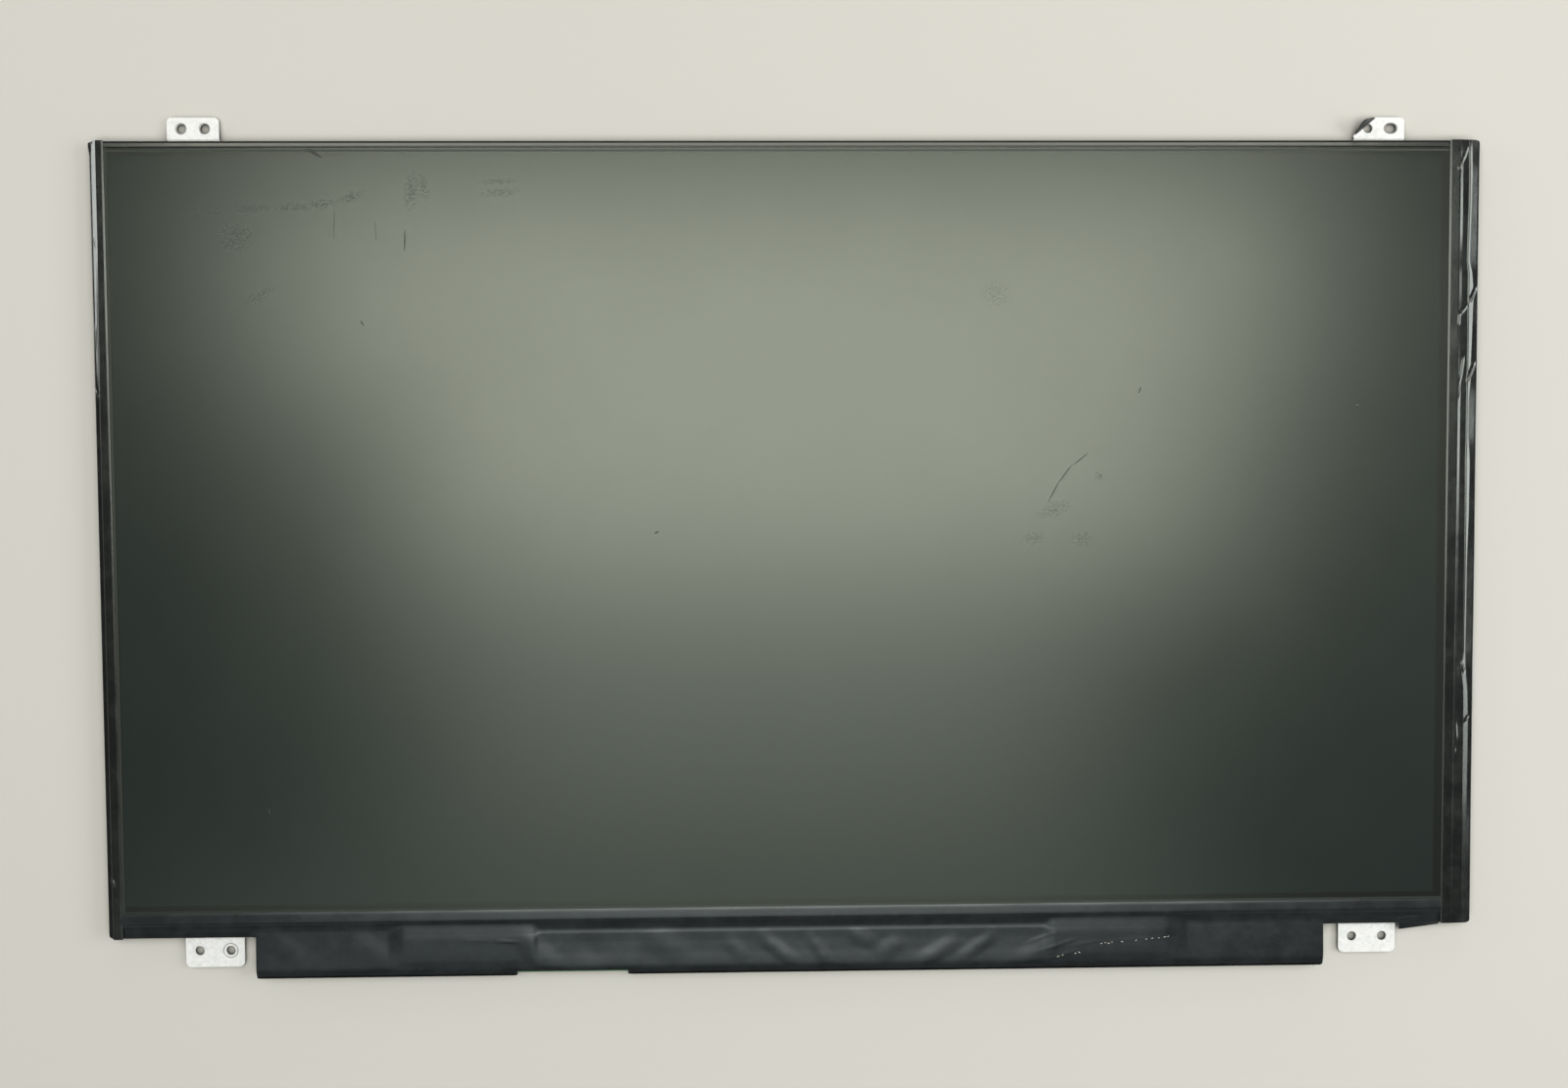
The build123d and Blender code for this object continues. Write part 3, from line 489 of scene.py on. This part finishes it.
def hang_skirt(bm, outside, level, cuts, fold_radius):
    """Extrude the rim edges that pass the test down to a level, and round the fold."""
    rim = [e for e in bm.edges if e.is_boundary and all(outside(v.co) for v in e.verts)]
    made = bmesh.ops.extrude_edge_only(bm, edges=rim)["geom"]
    hem = [g for g in made if isinstance(g, bmesh.types.BMVert)]
    for v in hem:
        v.co.z = level
    drops = [e for v in hem for e in v.link_edges if e.other_vert(v) not in hem]
    bmesh.ops.subdivide_edges(bm, edges=drops, cuts=cuts, use_grid_fill=True)
    bmesh.ops.bevel(bm, geom=rim, offset=fold_radius, segments=4, profile=0.5, affect="EDGES", material=-1)


def finish_film(bm, name, node, material):
    """Give the film its thickness, outwards, and make it a piece that stands for its node."""
    bmesh.ops.recalc_face_normals(bm, faces=bm.faces[:])
    if sum(f.normal.z * f.calc_area() for f in bm.faces) < 0:
        bmesh.ops.reverse_faces(bm, faces=bm.faces[:])
    bmesh.ops.solidify(bm, geom=bm.faces[:], thickness=-FILM_THICK)
    for f in bm.faces:
        f.smooth = True
    for e in bm.edges:
        e.smooth = e.calc_face_angle(0) < SHARP_EDGE
    mesh = bpy.data.meshes.new(name)
    bm.to_mesh(mesh)
    bm.free()
    mesh.materials.append(material)
    piece = bpy.data.objects.new(name, mesh)
    bpy.context.scene.collection.objects.link(piece)
    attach(piece, "root")
    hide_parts(node)
    print(name, len(mesh.polygons), "faces")


# %% Strips that follow drawn sections
def section_at(stations, along):
    """The section at a place along the strip, mixed from the two drawn nearest to it."""
    for (start, first), (end, second) in zip(stations, stations[1:]):
        if along <= end:
            share = min(max((along - start) / (end - start), 0), 1)
            return [p.lerp(q, share) for p, q in zip(first, second)]
    return stations[-1][1]


def walk(section, share):
    """The point that lies a share of the way along a section."""
    runs = list(zip(section, section[1:]))
    to_go = share * sum((q - p).length for p, q in runs)
    for p, q in runs:
        if to_go <= (q - p).length:
            return p.lerp(q, to_go / (q - p).length)
        to_go -= (q - p).length
    return section[-1]


def lay_strip(stations, low, high, columns, step_mm):
    """A grid whose rows run along an edge and whose columns follow the sections drawn there."""
    bm = bmesh.new()
    rows = round((high - low) / (step_mm * MM))
    fit = Matrix.Translation((0.5, (low + high) / 2, 0)) @ Matrix.Diagonal((0.5, (high - low) / 2, 1, 1))
    bmesh.ops.create_grid(bm, x_segments=columns, y_segments=rows, size=1.0, matrix=fit)
    for v in bm.verts:
        across, height = walk(section_at(stations, v.co.y / MM), v.co.x) * MM
        v.co = (across, v.co.y, height)
    free = [v for v in bm.verts if not v.is_boundary]
    bmesh.ops.smooth_vert(bm, verts=free, factor=0.5, use_axis_x=True, use_axis_z=True)
    return bm


def round_ends(bm):
    """Draw the ends of a strip in to the round corners of the body."""
    middle = (body_low.y + body_high.y) / 2
    straight = (body_high.y - body_low.y) / 2 - CORNER_RADIUS
    for v in bm.verts:
        past = min(max(abs(v.co.y - middle) - straight, 0), CORNER_RADIUS)
        inset = CORNER_RADIUS - math.sqrt(CORNER_RADIUS ** 2 - past ** 2)
        v.co.x = min(max(v.co.x, body_low.x + inset), body_high.x - inset)


def press_creases(bm, creases, wave_mm, wave_height, seed):
    """Lift the film on top of the panel by its creases and its waves, and leave the skirt alone."""
    for v in bm.verts:
        if v.co.z > WALL_HIGH:
            v.co.z += crease_height(v.co, creases, 2) + wave(v.co, wave_mm, wave_height, seed)


# %% [markdown]
# ## Tape on the left edge
# A narrow strip, from the screen over the edge of the glass and down the wall. In the upper half it is
# stretched straight from the wall to the glass, a slope that mirrors the lamp beside it; further down
# it lies closer. Its inner edge is pressed down, so the light draws a thin line along it.


# %% Left tape: distance from the wall and height above the wall's top (mm), at places along the edge
def left_section(*over_glass):
    """Points across the tape, from the hem of its skirt."""
    rise = [(0.0, -1.28), (0.0, -0.14), (0.07, 0.0), *over_glass, (3.5, 0.85), (3.98, 0.79)]
    return [Vector((body_low.x + x * MM, WALL_HIGH + z * MM)) / MM for x, z in rise]


STRETCHED = left_section((0.52, 0.03), (1.6, 0.62), (2.05, 0.86))
NARROWER = left_section((0.52, 0.03), (1.2, 0.4), (1.8, 0.86))
SETTLED = left_section((0.52, 0.06), (1.2, 0.18), (1.65, 0.86))
LEFT_STATIONS = [(-110.0, SETTLED), (38.0, SETTLED), (52.0, NARROWER), (62.0, NARROWER),
                 (78.0, STRETCHED), (110.0, STRETCHED)]
LEFT_CREASES = [
    (-179.5, 42.6, -178.1, 39.6, 0.8, 0.3),
    (-179.2, 60.0, -178.6, 52.0, 0.5, 0.1),
    (-179.2, 82.0, -177.9, 78.0, 0.6, 0.08),
    (-178.8, -84.5, -177.4, -86.5, 0.8, 0.2),
]
bm = lay_strip(LEFT_STATIONS, body_low.y, body_high.y, columns=48, step_mm=0.5)
press_creases(bm, LEFT_CREASES, wave_mm=9, wave_height=0.04, seed=1.0)
round_ends(bm)
BLOB_START, BLOB_LENGTH = 102.0 * MM, 3.4 * MM
BLOB_WIDTH, BLOB_REACH = 0.6 * MM, 0.38 * MM
for v in bm.verts:
    if v.co.y > BLOB_START and v.co.x < body_low.x + BLOB_WIDTH:
        v.co.x -= BLOB_REACH * math.sin(math.pi / 2 * min(1, (v.co.y - BLOB_START) / BLOB_LENGTH))
finish_film(bm, "left_tape", "edge_tape_left", edge_film)

# %% [markdown]
# ## Tape on the right edge
# The widest strip. It steps down from the front glass to the ledge of the rear glass and climbs over
# the ridge of the wall, and it has come loose there. Each section is set by the slopes that the light
# shows: the step down, the ridge, the slope outside the ridge and the rest out to the edge.

# %% Sections of the right tape: its fixed places across and heights (mm)
INNER_EDGE, GLASS_EDGE, LIP_START, BODY_EDGE = 171.6, 174.2, 179.2, 179.67
RIDGE_HIGH, LOWEST_LIP, HEM_LEVEL = 2.94, 2.36, 1.0
STEP_WIDTH = 0.7


def right_section(flat_high, step_tilt, ledge_low, ridge_x, slope_width, slope_tilt, outer_tilt):
    """Points across the tape, from its inner edge: places and heights in mm, slopes in degrees."""
    step_high = flat_high - 0.05
    step_low = step_high - STEP_WIDTH * math.tan(math.radians(step_tilt))
    slope_x = ridge_x + slope_width
    slope_low = RIDGE_HIGH - slope_width * math.tan(math.radians(slope_tilt))
    lip_high = max(LOWEST_LIP, slope_low - (LIP_START - slope_x) * math.tan(math.radians(outer_tilt)))
    points = [(INNER_EDGE, 2.99), (INNER_EDGE + 0.35, 3.06), (GLASS_EDGE, flat_high),
              (GLASS_EDGE + 0.25, step_high), (GLASS_EDGE + 0.25 + STEP_WIDTH, step_low),
              (ridge_x - 0.2, ledge_low), (ridge_x, RIDGE_HIGH), (slope_x, slope_low), (LIP_START, lip_high),
              (BODY_EDGE - 0.09, lip_high - 0.01), (BODY_EDGE, lip_high - 0.15), (BODY_EDGE, HEM_LEVEL)]
    return [Vector(point) for point in points]


RIGHT_STATIONS = [(y, right_section(*slopes)) for y, *slopes in (
    (-101.0, 3.09, 3, 2.9, 177.0, 1.0, 8, 7),
    (-75.0, 3.1, 4, 2.9, 177.0, 1.2, 9, 9),
    (-62.0, 3.1, 4, 2.9, 176.9, 1.6, 11, 3),
    (-46.0, 3.1, 4, 2.9, 176.9, 1.6, 11.5, 2),
    (-38.0, 3.1, 5, 2.9, 176.8, 1.4, 12, 3),
    (-33.0, 3.1, 5, 2.88, 176.2, 1.5, 12, 3),
    (-28.0, 3.11, 6, 2.88, 176.9, 0.45, 14, 8),
    (-4.0, 3.12, 9, 2.86, 177.0, 0.5, 15, 6),
    (8.0, 3.13, 11, 2.84, 177.0, 0.9, 16, 4),
    (22.0, 3.14, 14, 2.83, 176.9, 1.1, 16, 4),
    (29.0, 3.14, 14, 2.82, 177.0, 0.35, 16, 10),
    (38.0, 3.15, 14, 2.82, 177.0, 0.35, 16, 10),
    (43.0, 3.15, 11, 2.84, 177.0, 0.9, 16, 5),
    (47.0, 3.15, 9, 2.86, 177.0, 0.9, 16, 4),
    (56.0, 3.15, 5, 2.88, 177.0, 1.2, 16, 3),
    (66.0, 3.15, 11, 2.84, 177.0, 1.5, 15, 4),
    (71.0, 3.16, 11, 2.84, 177.0, 1.0, 16, 4),
    (74.0, 3.16, 7, 2.86, 176.6, 0.6, 16, 10),
    (82.0, 3.16, 14, 2.82, 176.8, 0.5, 16, 10),
    (90.0, 3.16, 14, 2.82, 177.0, 0.5, 16, 10),
    (97.0, 3.16, 12, 2.83, 177.0, 0.6, 16, 10),
    (102.0, 3.14, 11, 2.84, 176.8, 0.8, 16, 5),
    (105.0, 3.1, 3, 2.9, 176.8, 0.8, 8, 8),
)]

# %% Right tape
RIGHT_CREASES = [
    (179.2, 67.6, 177.0, 63.0, 0.8, 0.34),
    (177.2, 63.4, 174.4, 60.2, 0.7, 0.22),
    (174.5, 60.8, 174.4, 57.2, 0.5, 0.14),
    (179.1, 48.3, 176.6, 42.2, 0.8, 0.34),
    (175.9, 50.0, 174.7, 42.0, 0.7, 0.16),
    (174.6, 43.0, 174.8, 38.0, 0.4, 0.12),
    (176.4, 104.2, 174.6, 99.5, 0.8, 0.2),
    (173.4, 98.6, 174.4, 98.2, 0.4, 0.08),
    (176.0, -30.5, 177.4, -34.0, 0.7, 0.22),
    (178.9, -45.3, 177.2, -47.0, 0.5, 0.18),
    (174.9, -46.0, 175.3, -52.5, 0.7, 0.08),
    (175.0, -53.5, 174.6, -55.5, 0.5, 0.06),
]
bm = lay_strip(RIGHT_STATIONS, body_low.y, body_high.y, columns=72, step_mm=0.4)
press_creases(bm, RIGHT_CREASES, wave_mm=7, wave_height=0.04, seed=5.0)
round_ends(bm)
finish_film(bm, "right_tape", "edge_tape_right", edge_film)

# %% [markdown]
# ## Tape on the top edge
# A very narrow strip between the two side tapes. It slopes down from the glass to the wall, where its
# rim is a little wavy, and is folded down the side. The strip is laid along Y like the others, and
# then turned.

# %% Top tape: distance from the wall and height above the wall's top (mm)
TOP_SECTION = [(0.0, -1.28), (0.0, -0.12), (0.08, 0.0), (0.5, 0.03), (1.45, 0.62), (1.62, 0.8),
               (1.72, 0.83), (1.86, 0.77)]
tape_low, tape_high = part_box("edge_tape_top")
top_points = [Vector((body_high.y - y * MM, WALL_HIGH + z * MM)) / MM for y, z in TOP_SECTION]
bm = lay_strip([(-1.0, top_points), (1.0, top_points)], tape_low.x, tape_high.x, columns=44, step_mm=0.5)
for v in bm.verts:
    v.co.xy = v.co.yx
press_creases(bm, [], wave_mm=5, wave_height=0.03, seed=9.0)
finish_film(bm, "top_tape", "edge_tape_top", edge_film)

# %% [markdown]
# ## Film over the control board
# One sheet covers the bottom border and the board below it. It is stretched like a tent over the
# two films that join glass and board, sinks in a groove between them, lies in soft folds over the board,
# and is wrapped round the board's lower edge. At the socket it is cut away. This film is a plain grid
# that takes its heights from the sections, because its outline has cut-outs that a strip can't have.


# %% Sections of the cover film: place along Y and height (mm), from its inner edge to its lower fold
def cover_section(*below_glass):
    """Points down the film: the edge stuck to the screen, the flat on the glass, then those given."""
    return [Vector(point) for point in ((-94.15, 3.0), (-94.6, 3.08), (-97.0, 3.26), *below_glass)]


LOWER_FOLD = [(-109.2, 2.78), (-110.2, 2.66), (-111.0, 2.48), (-111.82, 2.1)]
BORDER = cover_section((-97.3, 2.95), (-97.6, 2.8), (-99.6, 2.54), (-100.2, 2.42), (-100.82, 2.3),
                       (-103.0, 2.3), (-106.0, 2.3), (-107.6, 2.3), *LOWER_FOLD)
SHALLOW = cover_section((-97.3, 2.95), (-97.6, 2.8), (-99.6, 2.51), (-100.0, 2.49), (-100.6, 2.53),
                        (-103.0, 2.64), (-106.0, 2.76), (-107.6, 2.78), *LOWER_FOLD)
TENT = cover_section((-97.3, 3.0), (-97.6, 2.88), (-98.4, 2.82), (-101.6, 3.05), (-102.2, 3.06),
                     (-103.4, 3.03), (-106.0, 3.02), (-107.6, 2.95), *LOWER_FOLD)
GROOVE = cover_section((-97.3, 2.98), (-97.6, 2.86), (-99.6, 2.5), (-100.0, 2.42), (-100.35, 2.62),
                       (-103.0, 2.55), (-106.0, 2.63), (-107.6, 2.73), *LOWER_FOLD)
COVER_STATIONS = [(-180.0, BORDER), (-144.0, BORDER), (-141.5, SHALLOW), (-107.0, SHALLOW),
                  (-103.0, TENT), (-69.3, TENT), (-67.7, GROOVE), (65.8, GROOVE), (68.0, TENT),
                  (98.0, TENT), (104.0, SHALLOW), (140.3, SHALLOW), (143.0, BORDER), (180.0, BORDER)]


def height_on(section, along):
    """Height of a section at a place along it."""
    for p, q in zip(section, section[1:]):
        if along >= q.x:
            return p.lerp(q, min(max((p.x - along) / (p.x - q.x), 0), 1)).y
    return section[-1].y


print("sections of the cover film:", len(COVER_STATIONS))

# %% Folds of the cover film: start and end, half width and height (mm)
SOFT_FOLDS = [
    (-138.0, -100.5, -128.0, -108.0, 4.0, 0.12),
    (-118.0, -101.0, -104.0, -109.5, 4.5, 0.14),
    (-74.0, -99.5, -62.5, -111.0, 4.5, 0.26),
    (-57.0, -101.0, -50.0, -109.0, 5.0, -0.12),
    (-42.0, -101.5, -27.0, -106.5, 5.0, 0.22),
    (-19.0, -102.0, -13.0, -108.5, 3.0, 0.16),
    (-10.5, -101.0, 0.5, -110.0, 2.8, 0.27),
    (3.0, -101.0, 9.0, -110.5, 2.5, 0.21),
    (13.0, -101.5, 22.0, -104.5, 3.0, 0.2),
    (21.0, -108.0, 29.0, -103.0, 3.5, 0.2),
    (31.0, -110.5, 44.0, -103.0, 3.2, 0.27),
    (42.0, -109.5, 54.0, -101.5, 2.6, 0.2),
    (57.0, -111.0, 71.0, -103.0, 4.0, 0.2),
]
FINE_CREASES = [
    (-88.0, -102.1, -79.5, -102.4, 0.6, 0.05),
    (-80.5, -102.3, -71.0, -102.9, 0.7, 0.1),
    (60.0, -105.2, 70.0, -101.6, 0.7, 0.06),
    (63.0, -107.4, 76.0, -103.2, 0.8, 0.07),
    (66.0, -109.4, 75.0, -106.6, 0.7, 0.06),
    (72.0, -105.6, 82.0, -104.2, 0.6, 0.05),
    (79.0, -104.8, 99.0, -103.4, 0.5, 0.05),
    (158.5, -99.9, 168.0, -99.2, 0.7, 0.25),
    (146.0, -97.2, 151.5, -98.6, 0.8, 0.1),
    (-166.0, -97.6, -158.0, -98.4, 0.8, 0.08),
]


def cover_folds(point):
    """Lift of the cover film above its sections."""
    creased = crease_height(point, SOFT_FOLDS, 1) + crease_height(point, FINE_CREASES, 2)
    return creased + wave(point, length_mm=14, height_mm=0.06, seed=13.0)


# %% Cover film
film_low, film_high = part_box("board_cover_film")
board_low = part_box("control_board")[0]
FLAP_LEFT, FLAP_RIGHT = -141.5 * MM, 140.3 * MM
WINDOW_LEFT, WINDOW_RIGHT = -73.6 * MM, -44.4 * MM
WINDOW_DEPTH = 0.3 * MM
FOLD_RETURN = 2.2 * MM
flap_edge = film_low.y + FILM_THICK
bm = flat_film(film_low.x, film_high.x, flap_edge, film_high.y, step_x=0.5, step_y=0.4)
for place_cut, direction_cut in (((FLAP_LEFT, 0, 0), (1, 0, 0)), ((FLAP_RIGHT, 0, 0), (1, 0, 0)),
                                 ((WINDOW_LEFT, 0, 0), (1, 0, 0)), ((WINDOW_RIGHT, 0, 0), (1, 0, 0)),
                                 ((0, body_low.y, 0), (0, 1, 0))):
    bmesh.ops.bisect_plane(bm, geom=bm.verts[:] + bm.edges[:] + bm.faces[:], dist=1e-7,
                           plane_co=place_cut, plane_no=direction_cut)


def off_the_film(middle):
    """True beyond the flap's ends below the body, and in the window at the socket."""
    beside_flap = middle.y < body_low.y and not FLAP_LEFT < middle.x < FLAP_RIGHT
    in_window = WINDOW_LEFT < middle.x < WINDOW_RIGHT and middle.y < board_low.y + WINDOW_DEPTH
    return beside_flap or in_window


outside = [f for f in bm.faces if off_the_film(f.calc_center_median())]
bmesh.ops.delete(bm, geom=outside, context="FACES")
for v in bm.verts:
    v.co.z = height_on(section_at(COVER_STATIONS, v.co.x / MM), v.co.y / MM) * MM
free = [v for v in bm.verts if not v.is_boundary]
for _ in range(2):
    bmesh.ops.smooth_vert(bm, verts=free, factor=0.5, use_axis_z=True)
for v in free:
    v.co.z += cover_folds(v.co)
print("cover film:", len(bm.verts), "points")

# %% Skirt, torn lip and the fold round the board
SAME_PLACE = 0.05 * MM
SKIRT_CUTS = 3
BOARD_FOLD_RADIUS = 0.35 * MM


def on_body_rim(point):
    """True on the lower edge of the body, beside the flap."""
    beside_flap = not FLAP_LEFT + MM < point.x < FLAP_RIGHT - MM
    return abs(point.y - body_low.y) < SAME_PLACE and beside_flap


def on_flap_edge(point):
    """True on the lower edge of the flap."""
    return abs(point.y - flap_edge) < SAME_PLACE


hang_skirt(bm, on_body_rim, SKIRT_LEVEL, SKIRT_CUTS, FOLD_RADIUS)
TEAR_START, TEAR_END = 160.6 * MM, 176.0 * MM
TEAR_REACH, TEAR_LIFT = 1.9 * MM, 0.9 * MM
for v in bm.verts:
    if TEAR_START < v.co.x < TEAR_END and v.co.y < body_low.y + FOLD_RADIUS:
        drop = min(max((WALL_HIGH - v.co.z) / (WALL_HIGH - SKIRT_LEVEL), 0), 1)
        v.co.y -= TEAR_REACH * drop * (TEAR_END - v.co.x) / (TEAR_END - TEAR_START)
        v.co.z += TEAR_LIFT * drop
hang_skirt(bm, on_flap_edge, board_low.z - FILM_THICK, SKIRT_CUTS, BOARD_FOLD_RADIUS)
under_board = board_low.z - FILM_THICK / 2
hem = [e for e in bm.edges if e.is_boundary and max(v.co.z for v in e.verts) < under_board
       and max(v.co.y for v in e.verts) < board_low.y]
turned = bmesh.ops.extrude_edge_only(bm, edges=hem)["geom"]
turned_points = [g for g in turned if isinstance(g, bmesh.types.BMVert)]
bmesh.ops.translate(bm, verts=turned_points, vec=(0, FOLD_RETURN, 0))
finish_film(bm, "board_cover", "board_cover_film", cover_film)

# %% [markdown]
# ## Small marks
# Screw heads have pressed rings into the zinc round some holes. Each ring is a circle of edges that is
# extruded inwards twice, lifted half way and bridged shut underneath. Bits of lint lie along a scuff of
# the cover film, and crumbs of dried glue on the top tape: small spheres, drawn out and flattened.


# %% A piece of small bits
def finish_bits(bm, name, material):
    """Make the bits in a mesh one piece that rides on the panel."""
    bmesh.ops.recalc_face_normals(bm, faces=bm.faces[:])
    mesh = bpy.data.meshes.new(name)
    bm.to_mesh(mesh)
    bm.free()
    mesh.materials.append(material)
    piece = bpy.data.objects.new(name, mesh)
    bpy.context.scene.collection.objects.link(piece)
    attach(piece, "root")
    print(name, len(mesh.polygons), "faces")


# %% Rings round the holes: tab, side of its middle, stretch along X, radius, width and height (mm)
RINGS = [
    ("bottom_left_tab", 0.5, 1.0, 1.98, 0.24, 0.06),
    ("top_left_tab", -0.5, 1.0, 1.5, 0.22, 0.05),
    ("top_left_tab", 0.5, 1.0, 1.45, 0.2, 0.05),
    ("top_right_tab", 0.0, 1.25, 1.5, 0.22, 0.06),
]
RING_SEGMENTS = 40
mounts = {mount["name"]: mount for mount in frame["record"]["mounts"]}
bm = bmesh.new()
for tab, side, stretch, radius, width, height in RINGS:
    centre = Vector(mounts[tab]["pos_m"])
    centre.x += side * mounts[tab]["dims"].get("spacing_x_mm", 0) * MM
    shape = Matrix.Translation(centre) @ Matrix.Diagonal((stretch, 1, 1, 1))
    loop = bmesh.ops.create_circle(bm, segments=RING_SEGMENTS, radius=radius * MM, matrix=shape)["verts"]
    loops = [list({e for v in loop for e in v.link_edges})]
    for share, lift in ((0.5, height), (1.0, 0.0)):
        made = bmesh.ops.extrude_edge_only(bm, edges=loops[-1])["geom"]
        loop = [g for g in made if isinstance(g, bmesh.types.BMVert)]
        shrink = (radius - share * width) / (radius - (share - 0.5) * width)
        bmesh.ops.scale(bm, verts=loop, vec=(shrink, shrink, 1), space=Matrix.Translation(-centre))
        for v in loop:
            v.co.z = centre.z + lift * MM
        loops.append([e for e in bm.edges if all(v in loop for v in e.verts)])
    bmesh.ops.bridge_loops(bm, edges=loops[0] + loops[-1])
worn_zinc = mottled("worn_zinc", "#b3b6b5", "#8f9291", 0.4, 0.35, 0.5, Metallic=0.3)
finish_bits(bm, "screw_rings", worn_zinc)

# %% Lint and crumbs: x and y, length (mm) and turn (degrees)
LINT = [
    (69.4, -108.5, 0.9, 15), (70.6, -108.1, 0.6, 60), (74.0, -107.7, 0.7, 10), (75.0, -107.4, 0.8, -25),
    (80.9, -105.1, 0.7, 30), (81.9, -104.9, 0.5, 0), (82.8, -105.1, 0.9, 12), (83.7, -104.8, 0.5, 75),
    (86.4, -104.7, 0.8, -10), (90.1, -104.4, 0.7, 40), (92.8, -104.1, 0.6, 0), (94.4, -103.9, 0.8, 20),
    (96.2, -103.8, 0.6, -35), (97.8, -103.6, 1.0, 8), (98.7, -103.5, 0.5, 50),
]
CRUMBS = [
    (-133.6, 104.5, 1.1, 20), (-132.8, 104.2, 0.8, -40), (-131.9, 104.6, 0.9, 10), (-132.4, 103.9, 0.6, 60),
    (-76.4, 104.6, 0.9, 0), (-74.8, 104.3, 0.7, 30), (-71.9, 104.5, 1.2, -15), (-69.8, 104.1, 0.6, 50),
    (-64.2, 104.4, 0.7, 5), (-110.3, 104.6, 0.6, -25), (48.7, 104.4, 0.7, 15), (51.0, 104.2, 0.6, -30),
]
BIT_HALF_WIDTH, BIT_HALF_HEIGHT = 0.12, 0.08


def cover_level(x, y):
    """Height of the cover film at a place (mm)."""
    return height_on(section_at(COVER_STATIONS, x), y) + cover_folds(Vector((x, y, 0)) * MM) / MM


def top_tape_level(x, y):
    """Height of the top tape at a place (mm): its section runs outwards, so it is read backwards."""
    return height_on([Vector((-p.x, p.y)) for p in top_points[2:]], -y)


cotton_lint = mottled("cotton_lint", "#d6d4ce", "#a9a7a0", 0.3, 0.8, 0.95)
dried_glue = mottled("dried_glue", "#2a2824", "#151412", 0.3, 0.6, 0.8)
for name, slot, bits, level, finish in (("lint", "white_film", LINT, cover_level, cotton_lint),
                                        ("crumbs", "black_tape", CRUMBS, top_tape_level, dried_glue)):
    bm = bmesh.new()
    for x, y, length, turn_degrees in bits:
        spot = Vector((x, y, level(x, y))) * MM
        spot.z += FILM_THICK
        shape = (Matrix.Translation(spot) @ Matrix.Rotation(math.radians(turn_degrees), 4, "Z")
                 @ Matrix.Diagonal((length / 2, BIT_HALF_WIDTH, BIT_HALF_HEIGHT, 1)))
        bmesh.ops.create_icosphere(bm, subdivisions=1, radius=MM, matrix=shape)
    finish_bits(bm, name, finish)
